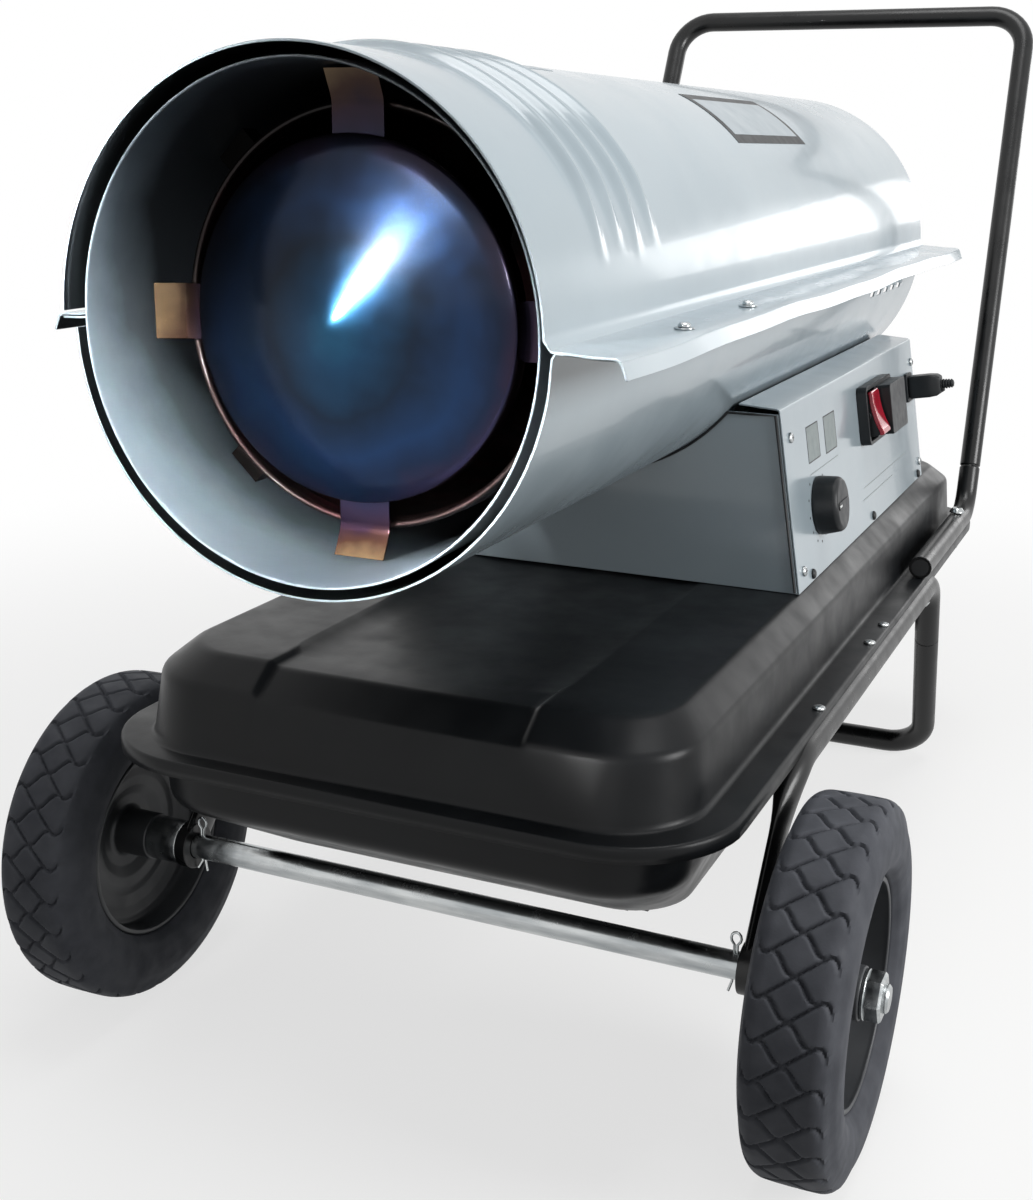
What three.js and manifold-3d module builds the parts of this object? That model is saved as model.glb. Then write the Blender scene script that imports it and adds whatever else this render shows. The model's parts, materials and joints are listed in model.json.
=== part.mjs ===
// A wheeled diesel space heater: a two-piece drum over a pressed fuel tank, with a control
// box between them, two wheels on an axle, a rear stand and a push handle.
// Millimetres. +Z is up, the hot air leaves towards -Y and +X is the control panel's side.
// The origin is on the ground, under the middle of the whole length.

import * as THREE from 'three';
import { mergeVertices } from 'three/addons/utils/BufferGeometryUtils.js';
import Module from 'manifold-3d';

const wasm = await Module();
wasm.setup();

// Gaps and facets
const GAP = 0.3; // between pieces that touch
const OVERRUN = 5; // how far a cutter runs past what it cuts
const ROUND_STEPS = 36; // facets round the drum and the wheels
const RIM_STEPS = 24; // facets round a wheel rim
const SMALL_STEPS = 16; // facets round small turned pieces
const TUBE_SIDES = 10; // facets round a bent tube
const HOSE_SIDES = 8;
const BEND_STEPS = 4; // facets along a bend
const CORNER_STEPS = 4; // facets round a corner of the tank
const MERGE_SHARE = 1e-7; // vertices closer than this share of a piece's size are one

// Fuel tank, two pressed pans that meet at a flange
const TANK_LENGTH = 864;
const TANK_SETBACK = 57; // from the drum's front rim back to the flange
const FLANGE_HEIGHT = 211; // top of the flange above the ground
const FLANGE_HALF_WIDTH = 188;
const FLANGE_CORNER = 66;
const FLANGE_SIDE = 21; // flange outside the wall, on the sides
const FLANGE_END = 14; // and at the ends
const LIP_DROP = 9;
const WALL_HEIGHT = 37;
const WALL_DRAFT = 3;
const WALL_END_DRAFT = 11;
const CHAMFER_WIDTH = 15;
const CHAMFER_LENGTH = 20;
const CHAMFER_HEIGHT = 14;
const CORNER_STEP = 7; // each higher ring's corner is tighter by this
const TANK_SHEET = 1.5;
const CHANNEL_HALF_WIDTH = 82; // shallow channel pressed into the front of the top
const CHANNEL_DEPTH = 2.5;
const LOWER_FLANGE_INSET = 2.5;
const LOWER_SIDE_STEP = 4; // lower wall stands this much inside the upper one
const LOWER_WALL_DROP = 36;
const LOWER_WALL_DRAFT = 3;
const LOWER_BEVEL_DROP = 50;
const LOWER_BEVEL_SIDE = 22;
const LOWER_BEVEL_END = 84;
const SUMP_HALF_WIDTH = 42;
const SUMP_CENTRE_X = 82;
const SUMP_SETBACK = 124; // from the flange's front edge
const SUMP_LENGTH = 170;
const SUMP_DROP = 14;
const SUMP_DRAFT = 12;

// Drum
const DRUM_LENGTH = 843;
const DRUM_RADIUS = 125;
const DRUM_OVER_BOX = 75.7; // axis above the top of the control box
const SHELL_SHEET = 1.2;
const RIM_OVERHANG = 9; // the upper shell reaches this much ahead of the lower one
const SIDE_FLANGE_REACH = 33;
const SIDE_FLANGE_DROP = 1;
const SIDE_LIP_REACH = 4;
const SIDE_LIP_DROP = 8;
const LEFT_FLANGE_SETBACK = 37;
const BEAD_COUNT = 4;
const BEAD_SETBACK = 77;
const BEAD_PITCH = 24;
const BEAD_WIDTH = 16;
const BEAD_HEIGHT = 3;
const BEAD_FADE_START = 0.3; // radians above the side flange where a bead begins
const BEAD_FADE_END = 0.75;
const LOUVRE_COUNT = 5;
const LOUVRE_PITCH = 26;
const LOUVRE_LENGTH = 16;
const LOUVRE_HEIGHT = 5;
const LOUVRE_DROP = 26; // below the drum's axis
const LOUVRE_SETBACK = 660;

// Hot end
const LINER_RADIUS = 117.7; // inside
const LINER_LENGTH = 515;
const LINER_FLARE = 12;
const BAFFLE_SETBACK = 48; // from the liner's front edge to the cone's rim
const BAFFLE_RADIUS = 87.5;
const BAFFLE_RISE = 23;
const BAFFLE_SHEET = 1.5;
const BAFFLE_RIM = 11;
const TAB_COUNT = 4;
const TAB_WIDTH = 28;
const TAB_END = 13.5; // the outer stretch, which leans
const TAB_LEAN = 7;
const CHAMBER_SETBACK = 62; // from the liner's front edge
const CHAMBER_LENGTH = 388;
const CHAMBER_RADIUS = 103;
const CHAMBER_MOUTH_RADIUS = 48;
const CHAMBER_LUG_COUNT = 4;
const CHAMBER_LUG_WIDTH = 20;
const CHAMBER_LUG_LENGTH = 12;

// Burner
const BURNER_RADIUS = 44;
const BURNER_FLANGE_RADIUS = 58;
const BURNER_LENGTH = 66;
const BURNER_SHEET = 2;
const NOZZLE_RADIUS = 9;
const NOZZLE_LENGTH = 52;
const NOZZLE_REACH = 30; // ahead of the burner's rear plate
const NOZZLE_TIP_RADIUS = 4;
const NOZZLE_TIP_LENGTH = 10;
const PROBE_OFFSET = 25; // electrode and flame sensor, beside the nozzle
const PROBE_RADIUS = 2.5;
const ELECTRODE_REACH = 34;
const ELECTRODE_BODY_RADIUS = 5;
const SENSOR_REACH = 6;
const SENSOR_BODY_RADIUS = 7;
const PROBE_BODY_LENGTH = 20;

// Motor, fan and air pump on one shaft
const FAN_SETBACK = 594; // from the drum's front rim
const FAN_RADIUS = 104;
const FAN_HUB_RADIUS = 18;
const FAN_HUB_LENGTH = 28;
const FAN_BLADE_COUNT = 5;
const FAN_BLADE_SHEET = 2;
const FAN_BLADE_PITCH = 0.5; // radians
const FAN_BLADE_ROOT_WIDTH = 26;
const FAN_BLADE_TIP_WIDTH = 66;
const SHAFT_RADIUS = 5;
const MOTOR_RADIUS = 44;
const MOTOR_LENGTH = 95;
const MOTOR_SETBACK = 18; // behind the fan's hub
const MOTOR_BELL_LENGTH = 14;
const MOTOR_BELL_STEP = 8;
const BRACKET_SHEET = 2.5;
const BRACKET_HALF_WIDTH = 62;
const BRACKET_EAR = 14;
const PUMP_RADIUS = 34;
const PUMP_LENGTH = 24;
const PUMP_WALL = 4;
const PUMP_ROTOR_RADIUS = 25;
const PUMP_COVER_LENGTH = 4;
const FILTER_DOME_LENGTH = 16;
const FILTER_DOME_RADIUS = 29;

// Rear guard
const GUARD_SHEET = 2;
const GUARD_SETBACK = 12; // inside the drum's rear edge
const GUARD_RING_COUNT = 4;
const GUARD_SPOKE_COUNT = 4;
const GUARD_BAR = 4;
const GUARD_HUB_RADIUS = 16;
const GUARD_RIM = 6;
const GUARD_SLOT_STEPS = 4;

// Control box
const BOX_SETBACK = 364; // from the drum's front rim
const BOX_LENGTH = 430;
const BOX_HALF_WIDTH = 151;
const BOX_HEIGHT = 119;
const PANEL_TILT = 0.1665; // radians from upright
const PANEL_SHEET = 1.2;
const LEDGE_WIDTH = 27;
const LEDGE_RISE = 2;
const WALL_SHEET = 1.2;

// Controls on the panel: places are along the box and up the panel
const KNOB_ALONG = 70;
const KNOB_UP = 45;
const KNOB_RADIUS = 20;
const KNOB_HEIGHT = 18;
const KNOB_WALL = 3;
const KNOB_STEM_RADIUS = 3;
const KNOB_STEM_LENGTH = 16; // behind the knob's foot
const THERMOSTAT_WIDTH = 44;
const THERMOSTAT_HEIGHT = 34;
const THERMOSTAT_DEPTH = 22;
const SWITCH_ALONG = 208;
const SWITCH_LENGTH = 92;
const SWITCH_UP = 62;
const SWITCH_HEIGHT = 44;
const SWITCH_REACH = 8; // stands this much outside the panel
const SWITCH_DEPTH = 24; // and this much inside
const SWITCH_WALL = 3;
const SWITCH_CAP_REACH = 11; // blank cap, above the frame
const ROCKER_WIDTH = 26;
const ROCKER_HEIGHT = 34;
const ROCKER_TILT = 0.21; // radians, pressed at its upper end
const ROCKER_RADIUS = 20;
const ROCKER_DEPTH = 9;
const ROCKER_PROUD = 7; // of its face, above the frame
const SOCKET_FROM_REAR = 32; // from the panel's rear edge
const SOCKET_UP = 82;
const SOCKET_SIZE = 24;
const SOCKET_REACH = 3;
const SOCKET_DEPTH = 22;
const SOCKET_WALL = 3;
const PLUG_SIZE = 19;
const PLUG_REACH = 26;
const PLUG_NOSE_LENGTH = 12;
const PLUG_NECK_RADIUS = 4.5;
const PLUG_NECK_LENGTH = 11;

// Inside the box
const BOARD_LENGTH = 110;
const BOARD_WIDTH = 70;
const BOARD_SHEET = 1.6;
const BOARD_POST = 8;
const BOARD_POST_RADIUS = 3;
const BOARD_ALONG = 250;
const BOARD_X = 70;
const TRANSFORMER_LENGTH = 90;
const TRANSFORMER_WIDTH = 60;
const TRANSFORMER_HEIGHT = 62;
const TRANSFORMER_ALONG = 120;
const TRANSFORMER_X = -80;
const TRANSFORMER_TERMINAL_RADIUS = 7;
const TRANSFORMER_TERMINAL_LENGTH = 14;
const FUEL_FILTER_RADIUS = 14;
const FUEL_FILTER_HEIGHT = 30;
const FUEL_FILTER_NIPPLE_RADIUS = 4;
const FUEL_FILTER_NIPPLE_LENGTH = 8;
const HOSE_RADIUS = 4;
const HOSE_OFFSET = 5; // beside the drum's axis
const HOSE_BEND = 18;
const HOSE_HOLE_MARGIN = 2;
const AIR_HOSE_DROP = 24; // below the drum, inside the box

// Filler, gauge and drain
const FILLER_X = -88;
const FILLER_FROM_REAR = 84; // from the flange's rear edge
const NECK_RADIUS = 22;
const NECK_SHEET = 1.5;
const NECK_HEIGHT = 15;
const NECK_FOOT = 6;
const STRAINER_DEPTH = 42;
const STRAINER_TAPER = 4;
const CAP_RADIUS = 29;
const CAP_HEIGHT = 20;
const CAP_WALL = 2.5;
const CAP_CROWN = 5;
const CAP_GRIP_COUNT = 12;
const CAP_GRIP_RADIUS = 3;
const SEAL_SHEET = 2;
const GAUGE_X = 60;
const GAUGE_RADIUS = 19;
const GAUGE_HEIGHT = 10;
const GAUGE_STEM_RADIUS = 7;
const GAUGE_STEM_LENGTH = 70;
const DRAIN_RADIUS = 7;
const DRAIN_HEAD_RADIUS = 11;
const DRAIN_HEAD_HEIGHT = 8;
const DRAIN_STEM = 10;

// Running gear
const WHEEL_RADIUS = 105;
const TYRE_WIDTH = 46;
const RIM_RADIUS = 64;
const RIM_WIDTH = 38;
const RIM_SHEET = 3;
const TYRE_SHOULDER = 9;
const TYRE_SIDE_BULGE = 3;
const HUB_RADIUS = 15;
const HUB_LENGTH = 36;
const DISC_DISH = 8; // disc set back from the hub's outer face
const DISC_SHEET = 3;
const WHEEL_CENTRE_X = 230;
const AXLE_SETBACK = 160; // from the drum's front rim
const AXLE_RADIUS = 8;
const AXLE_END = 2.7; // beyond the nut
const WASHER_RADIUS = 14;
const WASHER_SHEET = 2;
const NUT_ACROSS = 24;
const NUT_HEIGHT = 11;
const NUT_SIDES = 6;
const COTTER_RADIUS = 1.6;
const COTTER_LENGTH = 34;
const COTTER_HEAD_RADIUS = 4;

// Tube work
const TUBE_RADIUS = 10;
const RAIL_X = 183;
const LUG_X = 185; // the rail's flattened end, on the axle
const LUG_SHEET = 8;
const LUG_RADIUS = 15;
const RAIL_BEND_SETBACK = 81.5; // behind the axle
const RAIL_BEND = 40;
const RAIL_REAR_SETBACK = 678; // rear bend, from the drum's front rim
const RAIL_LEG = 70; // below the rear bend, down to the stand
const STAND_SETBACK = 790; // from the drum's front rim
const STAND_HALF_WIDTH = 173;
const STAND_BEND = 36;
const HANDLE_RADIUS = 9;
const HANDLE_REACH = 134; // behind the tank's flange
const HANDLE_HEIGHT = 672;
const HANDLE_HALF_WIDTH = 172;
const HANDLE_LEAN = 198.5;
const HANDLE_BEND = 34;
const BOLT_RADIUS = 3;
const BOLT_HEAD_RADIUS = 6.5;
const BOLT_HEAD_HEIGHT = 5;
const BOLT_INSET = 22; // first bolt from the arm's open end
const BOLT_PITCH = 151;
const HANDLE_FOOT_LENGTH = BOLT_INSET + BOLT_PITCH + 45; // the arm runs on to its bend behind the second bolt

// Places worked out from the sizes above
const LENGTH = TANK_SETBACK + TANK_LENGTH + HANDLE_REACH;
const DRUM_FRONT = -LENGTH / 2;
const DRUM_REAR = DRUM_FRONT + DRUM_LENGTH;
const SHELL_INSIDE = DRUM_RADIUS - SHELL_SHEET;
const LINER_FRONT = DRUM_FRONT + RIM_OVERHANG;
const LINER_REAR = LINER_FRONT + LINER_LENGTH;
const TANK_FRONT = DRUM_FRONT + TANK_SETBACK;
const TANK_REAR = TANK_FRONT + TANK_LENGTH;
const TANK_TOP = FLANGE_HEIGHT + WALL_HEIGHT + CHAMFER_HEIGHT;
const BOX_FRONT = DRUM_FRONT + BOX_SETBACK;
const BOX_REAR = BOX_FRONT + BOX_LENGTH;
const BOX_FLOOR = TANK_TOP + GAP;
const BOX_TOP = BOX_FLOOR + BOX_HEIGHT;
const PANEL_HEIGHT = BOX_HEIGHT / Math.cos(PANEL_TILT); // along its slope
const SOCKET_ALONG = BOX_LENGTH - SOCKET_FROM_REAR;
const DRUM_HEIGHT = BOX_TOP + DRUM_OVER_BOX; // axis above the ground
const AXLE_Y = DRUM_FRONT + AXLE_SETBACK;
const RAIL_Z = FLANGE_HEIGHT - 2 * TANK_SHEET - 2 * GAP - TUBE_RADIUS;
const ARM_Z = FLANGE_HEIGHT + GAP + HANDLE_RADIUS;
const FAN_FRONT = DRUM_FRONT + FAN_SETBACK;
const MOTOR_FRONT = FAN_FRONT + FAN_HUB_LENGTH + MOTOR_SETBACK;
const MOTOR_REAR = MOTOR_FRONT + MOTOR_LENGTH;
const CHAMBER_REAR = LINER_FRONT + CHAMBER_SETBACK + CHAMBER_LENGTH;
const BURNER_FRONT = CHAMBER_REAR + GAP;
const BURNER_REAR = BURNER_FRONT + BURNER_LENGTH;
const NOZZLE_REAR = BURNER_REAR - NOZZLE_REACH + NOZZLE_LENGTH;
const HOSE_Y = NOZZLE_REAR - HOSE_OFFSET;
const PUMP_FRONT = MOTOR_REAR + GAP;
const PUMP_HOSE_Y = PUMP_FRONT + PUMP_LENGTH / 2;
const FILLER_Y = TANK_REAR - FILLER_FROM_REAR;
const HANDLE_TOP_Y = TANK_REAR + HANDLE_REACH - HANDLE_RADIUS;
const HANDLE_FOOT_Y = HANDLE_TOP_Y - HANDLE_LEAN;
const ARM_FRONT = HANDLE_FOOT_Y - HANDLE_FOOT_LENGTH;

// Finishes
const finish = (color, roughness, metalness) => () =>
  new THREE.MeshStandardMaterial({ color, roughness, metalness });
const paleEnamel = finish(0xb4c1c8, 0.3, 0.1);
const linerEnamel = finish(0xaebcc4, 0.5, 0.1);
const blackEnamel = finish(0x1d1f21, 0.45, 0.2);
const blackPowder = finish(0x17181a, 0.5, 0.2);
const rimEnamel = finish(0x46484a, 0.4, 0.2);
const heatedSteel = finish(0x27405f, 0.3, 0.9);
const bareSteel = finish(0x8b8f92, 0.4, 0.9);
const zinc = finish(0xb9bdbf, 0.3, 0.9);
const aluminium = finish(0xa6a9ab, 0.4, 0.9);
const brass = finish(0xb08d4a, 0.35, 0.9);
const rubber = finish(0x2a2b2d, 0.85, 0);
const tyreRubber = finish(0x35373a, 0.9, 0);
const darkPlastic = finish(0x26282a, 0.5, 0);
const redPlastic = finish(0xb01726, 0.25, 0);
const ceramic = finish(0xe4e0d6, 0.4, 0);
const circuitGreen = finish(0x1f5a3a, 0.6, 0);

// Closed bodies: one vertex for each corner, no slivers, faces pointing out
function closed(geometry) {
  const bare = new THREE.BufferGeometry();
  bare.setAttribute('position', geometry.getAttribute('position').clone());
  if (geometry.index) bare.setIndex(geometry.index.clone());
  bare.computeBoundingSphere();
  const merged = mergeVertices(bare, bare.boundingSphere.radius * MERGE_SHARE);
  const corners = merged.index.array;
  const kept = [];
  const [a, b, c] = [new THREE.Vector3(), new THREE.Vector3(), new THREE.Vector3()];
  let volume = 0;
  for (let i = 0; i < corners.length; i += 3) {
    const [p, q, r] = corners.slice(i, i + 3);
    if (p === q || q === r || r === p) continue;
    kept.push(p, q, r);
    a.fromBufferAttribute(merged.attributes.position, p);
    b.fromBufferAttribute(merged.attributes.position, q);
    c.fromBufferAttribute(merged.attributes.position, r);
    volume += a.dot(b.cross(c));
  }
  if (volume < 0) kept.reverse();
  merged.setIndex(kept);
  return merged;
}

function toSolid(geometry) {
  const body = closed(geometry);
  return new wasm.Manifold(new wasm.Mesh({
    numProp: 3,
    vertProperties: new Float32Array(body.attributes.position.array),
    triVerts: new Uint32Array(body.index.array),
  }));
}

function toGeometry(solid) {
  const mesh = solid.getMesh();
  const geometry = new THREE.BufferGeometry();
  geometry.setAttribute('position', new THREE.BufferAttribute(mesh.vertProperties, 3));
  geometry.setIndex(new THREE.BufferAttribute(mesh.triVerts, 1));
  return geometry;
}

function combine(body, others, operation) {
  let solid = toSolid(body);
  for (const other of others) solid = solid[operation](toSolid(other));
  return toGeometry(solid);
}
const cut = (body, ...tools) => combine(body, tools, 'subtract');
const join = (body, ...others) => combine(body, others, 'add');
const overlap = (body, ...others) => combine(body, others, 'intersect');

// Placed shapes
const moved = (geometry, x, y, z) => geometry.clone().translate(x, y, z);

function mirrored(geometry) {
  const other = closed(geometry);
  other.scale(-1, 1, 1);
  return closed(other);
}

function box(x0, x1, y0, y1, z0, z1) {
  const block = new THREE.BoxGeometry(x1 - x0, y1 - y0, z1 - z0);
  return block.translate((x0 + x1) / 2, (y0 + y1) / 2, (z0 + z1) / 2);
}

// Turned pieces: profiles are [radius, distance along the axis]
function turned(profile, steps = ROUND_STEPS) {
  return new THREE.LatheGeometry(profile.map(([r, along]) => new THREE.Vector2(r, along)), steps);
}
const ring = (profile, steps) => turned([...profile, profile[0]], steps);
const alongX = (geometry) => geometry.rotateZ(-Math.PI / 2);
const alongZ = (geometry) => geometry.rotateX(Math.PI / 2);

function rod(radius, start, end, steps = SMALL_STEPS) {
  return turned([[0, start], [radius, start], [radius, end], [0, end]], steps);
}
const rodX = (radius, start, end, steps) => alongX(rod(radius, start, end, steps));
const rodZ = (radius, start, end, steps) => alongZ(rod(radius, start, end, steps));

// A flat shape drawn in X and Z, with its thickness along Y
function plateAcross(shape, start, sheet) {
  const plate = new THREE.ExtrudeGeometry(shape, { depth: sheet, bevelEnabled: false });
  return plate.rotateX(Math.PI / 2).translate(0, start + sheet, 0);
}

function outline(points) {
  return new THREE.Shape(points.map(([x, y]) => new THREE.Vector2(x, y)));
}

// Straight runs joined by round bends; a station stands at each end of a run and in each bend
class BentPath extends THREE.Curve {
  constructor(corners, bend) {
    super();
    this.stations = [];
    const points = corners.map((corner) => new THREE.Vector3(...corner));
    const heading = (i) => points[i + 1].clone().sub(points[i]).normalize();
    this.addStation(points[0], heading(0));
    for (let i = 1; i < points.length - 1; i += 1) {
      this.addBend(points[i], heading(i - 1), heading(i), bend);
    }
    this.addStation(points[points.length - 1], heading(points.length - 2));
  }

  addStation(point, tangent) {
    this.stations.push({ point, tangent });
  }

  addBend(corner, before, after, bend) {
    const angle = before.angleTo(after);
    const axis = before.clone().cross(after).normalize();
    const start = corner.clone().addScaledVector(before, -bend * Math.tan(angle / 2));
    const towards = axis.clone().cross(before);
    for (let k = 0; k <= BEND_STEPS; k += 1) {
      const turn = (angle * k) / BEND_STEPS;
      const point = start.clone().addScaledVector(before, bend * Math.sin(turn));
      point.addScaledVector(towards, bend * (1 - Math.cos(turn)));
      this.addStation(point, before.clone().applyAxisAngle(axis, turn));
    }
  }

  get runs() {
    return this.stations.length - 1;
  }

  getPoint(share) {
    return this.stations[Math.round(share * this.runs)].point.clone();
  }

  getPointAt(share) {
    return this.getPoint(share);
  }

  getTangentAt(share) {
    return this.stations[Math.round(share * this.runs)].tangent.clone();
  }
}

function tube(corners, radius, bend, sides = TUBE_SIDES) {
  const path = new BentPath(corners, bend);
  const section = new THREE.Shape().absarc(0, 0, radius, 0, 2 * Math.PI);
  return new THREE.ExtrudeGeometry(section, {
    steps: path.runs,
    curveSegments: sides / 2,
    extrudePath: path,
  });
}

// A skin through closed rings of equally many points, closed flat at both ends
function loft(rings, flatten) {
  const count = rings[0].length;
  const positions = rings.flat().flatMap((point) => point);
  const index = [];
  for (let r = 0; r < rings.length - 1; r += 1) {
    for (let i = 0; i < count; i += 1) {
      const next = (i + 1) % count;
      const [a, b] = [r * count + i, r * count + next];
      index.push(a, b, b + count, a, b + count, a + count);
    }
  }
  [0, rings.length - 1].forEach((r) => {
    const flat = rings[r].map((point) => new THREE.Vector2(...flatten(point)));
    const clockwise = THREE.ShapeUtils.isClockWise(flat);
    const faces = THREE.ShapeUtils.triangulateShape(flat, []);
    const towardsStart = r === 0;
    for (const face of faces) {
      const corners = face.map((corner) => r * count + corner);
      if (clockwise !== towardsStart) corners.reverse();
      index.push(...corners);
    }
  });
  const geometry = new THREE.BufferGeometry();
  geometry.setAttribute('position', new THREE.Float32BufferAttribute(positions, 3));
  geometry.setIndex(index);
  return geometry;
}

// A rounded rectangle at one height
function tankRing(halfWidth, front, rear, corner, z) {
  const points = [];
  const centres = [
    [halfWidth - corner, rear - corner],
    [corner - halfWidth, rear - corner],
    [corner - halfWidth, front + corner],
    [halfWidth - corner, front + corner],
  ];
  centres.forEach(([x, y], quarter) => {
    for (let k = 0; k <= CORNER_STEPS; k += 1) {
      const angle = (quarter + k / CORNER_STEPS) * (Math.PI / 2);
      points.push([x + corner * Math.cos(angle), y + corner * Math.sin(angle), z]);
    }
  });
  return points;
}
const seenFromTop = ([x, y]) => [x, y];

const heater = new THREE.Group();

function add(name, geometry, material, parent = heater) {
  const mesh = new THREE.Mesh(closed(geometry), material());
  mesh.name = name;
  parent.add(mesh);
  return mesh;
}

// Upper half of the drum: an arch with side flanges, lips and pressed beads
function beadRise(along, angle) {
  let rise = 0;
  for (let i = 0; i < BEAD_COUNT; i += 1) {
    const offset = Math.abs(along - BEAD_SETBACK - i * BEAD_PITCH) / (BEAD_WIDTH / 2);
    if (offset < 1) rise = Math.max(rise, BEAD_HEIGHT * (1 - offset));
  }
  const above = Math.min(angle, Math.PI - angle);
  const fade = (above - BEAD_FADE_START) / (BEAD_FADE_END - BEAD_FADE_START);
  return rise * THREE.MathUtils.clamp(fade, 0, 1);
}

function upperShellRing(along) {
  const steps = ROUND_STEPS / 2;
  const tip = DRUM_RADIUS + SIDE_FLANGE_REACH;
  const lip = tip + SIDE_LIP_REACH;
  const side = [
    [lip - SHELL_SHEET, -SIDE_LIP_DROP - SIDE_FLANGE_DROP],
    [lip, -SIDE_LIP_DROP - SIDE_FLANGE_DROP],
    [tip, SHELL_SHEET - SIDE_FLANGE_DROP],
    [DRUM_RADIUS, SHELL_SHEET],
  ];
  const underside = [[SHELL_INSIDE, 0], [tip - SHELL_SHEET, -SIDE_FLANGE_DROP]];
  const arch = (radius, k) => {
    const angle = (Math.PI * k) / steps;
    const r = radius + beadRise(along, angle);
    return [r * Math.cos(angle), r * Math.sin(angle)];
  };
  const loop = [...side];
  for (let k = 1; k < steps; k += 1) loop.push(arch(DRUM_RADIUS, k));
  loop.push(...side.map(([x, z]) => [-x, z]).reverse());
  loop.push(...underside.map(([x, z]) => [-x, z]).reverse());
  for (let k = steps - 1; k > 0; k -= 1) loop.push(arch(SHELL_INSIDE, k));
  loop.push(...underside);
  return loop.map(([x, z]) => [x, DRUM_FRONT + along, DRUM_HEIGHT + z]);
}

// On the left the side flanges start a little behind the rim
function leftFlangeNotch() {
  const reach = DRUM_RADIUS + SIDE_FLANGE_REACH + SIDE_LIP_REACH + OVERRUN;
  return box(
    -reach, -DRUM_RADIUS,
    DRUM_FRONT - OVERRUN, DRUM_FRONT + LEFT_FLANGE_SETBACK,
    DRUM_HEIGHT - SIDE_LIP_DROP - OVERRUN, DRUM_HEIGHT + SHELL_SHEET,
  );
}

function upperShell() {
  const stations = [0];
  for (let i = 0; i < BEAD_COUNT; i += 1) {
    const crest = BEAD_SETBACK + i * BEAD_PITCH;
    stations.push(crest - BEAD_WIDTH / 2, crest, crest + BEAD_WIDTH / 2);
  }
  stations.push(DRUM_LENGTH);
  const shell = loft(stations.map(upperShellRing), ([x, , z]) => [x, z]);
  return cut(shell, leftFlangeNotch());
}
add('upper_shell', upperShell(), paleEnamel);

// Lower half of the drum: its flanges lie under the upper ones
const hoseHoleRadius = HOSE_RADIUS + HOSE_HOLE_MARGIN;
const hoseHoles = [[HOSE_OFFSET, HOSE_Y], [-HOSE_OFFSET, HOSE_Y], [-HOSE_OFFSET, PUMP_HOSE_Y]];

function lowerShell() {
  const tip = DRUM_RADIUS + SIDE_FLANGE_REACH - SHELL_SHEET - SIDE_FLANGE_DROP;
  const steps = ROUND_STEPS / 2;
  const loop = [
    [SHELL_INSIDE, -GAP],
    [tip, -GAP - SIDE_FLANGE_DROP],
    [tip, -GAP - SIDE_FLANGE_DROP - SHELL_SHEET],
    [DRUM_RADIUS, -GAP - SHELL_SHEET],
  ];
  const bowl = (radius, k) => {
    const angle = -(Math.PI * k) / steps;
    return [radius * Math.cos(angle), radius * Math.sin(angle)];
  };
  const corner = loop.map(([x, z]) => [-x, z]).reverse();
  for (let k = 1; k < steps; k += 1) loop.push(bowl(DRUM_RADIUS, k));
  loop.push(...corner);
  for (let k = steps - 1; k > 0; k -= 1) loop.push(bowl(SHELL_INSIDE, k));
  const shell = plateAcross(outline(loop), LINER_FRONT, DRUM_LENGTH - RIM_OVERHANG);
  shell.translate(0, 0, DRUM_HEIGHT);
  const tools = hoseHoles.map(([x, y]) =>
    moved(rodZ(hoseHoleRadius, DRUM_HEIGHT - DRUM_RADIUS - OVERRUN, DRUM_HEIGHT), x, y, 0));
  for (let i = 0; i < LOUVRE_COUNT; i += 1) {
    const front = DRUM_FRONT + LOUVRE_SETBACK + i * LOUVRE_PITCH;
    const reach = DRUM_RADIUS + OVERRUN;
    const top = DRUM_HEIGHT - LOUVRE_DROP;
    tools.push(box(-reach, reach, front, front + LOUVRE_LENGTH, top - LOUVRE_HEIGHT, top));
  }
  return cut(shell, leftFlangeNotch(), ...tools);
}
add('lower_shell', lowerShell(), paleEnamel);

// Inner liner: a tube whose flared rear end centres it in the shells
const linerOutside = LINER_RADIUS + SHELL_SHEET;
const flareRadius = SHELL_INSIDE - GAP;
add('heat_liner', moved(ring([
  [LINER_RADIUS, LINER_FRONT],
  [linerOutside, LINER_FRONT],
  [linerOutside, LINER_REAR - LINER_FLARE],
  [flareRadius, LINER_REAR - LINER_FLARE / 2],
  [flareRadius, LINER_REAR],
  [flareRadius - SHELL_SHEET, LINER_REAR],
  [LINER_RADIUS, LINER_REAR - LINER_FLARE / 2],
]), 0, 0, DRUM_HEIGHT), linerEnamel);

// Strips that hold a round piece inside the liner
function spacers(count, width, build) {
  const innermost = LINER_RADIUS * Math.cos(Math.PI / ROUND_STEPS) - GAP;
  const seat = Math.sqrt(innermost ** 2 - (width / 2) ** 2);
  const strips = [];
  for (let i = 0; i < count; i += 1) {
    for (const strip of build(seat)) strips.push(strip.rotateY((2 * Math.PI * i) / count));
  }
  return strips;
}

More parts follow.
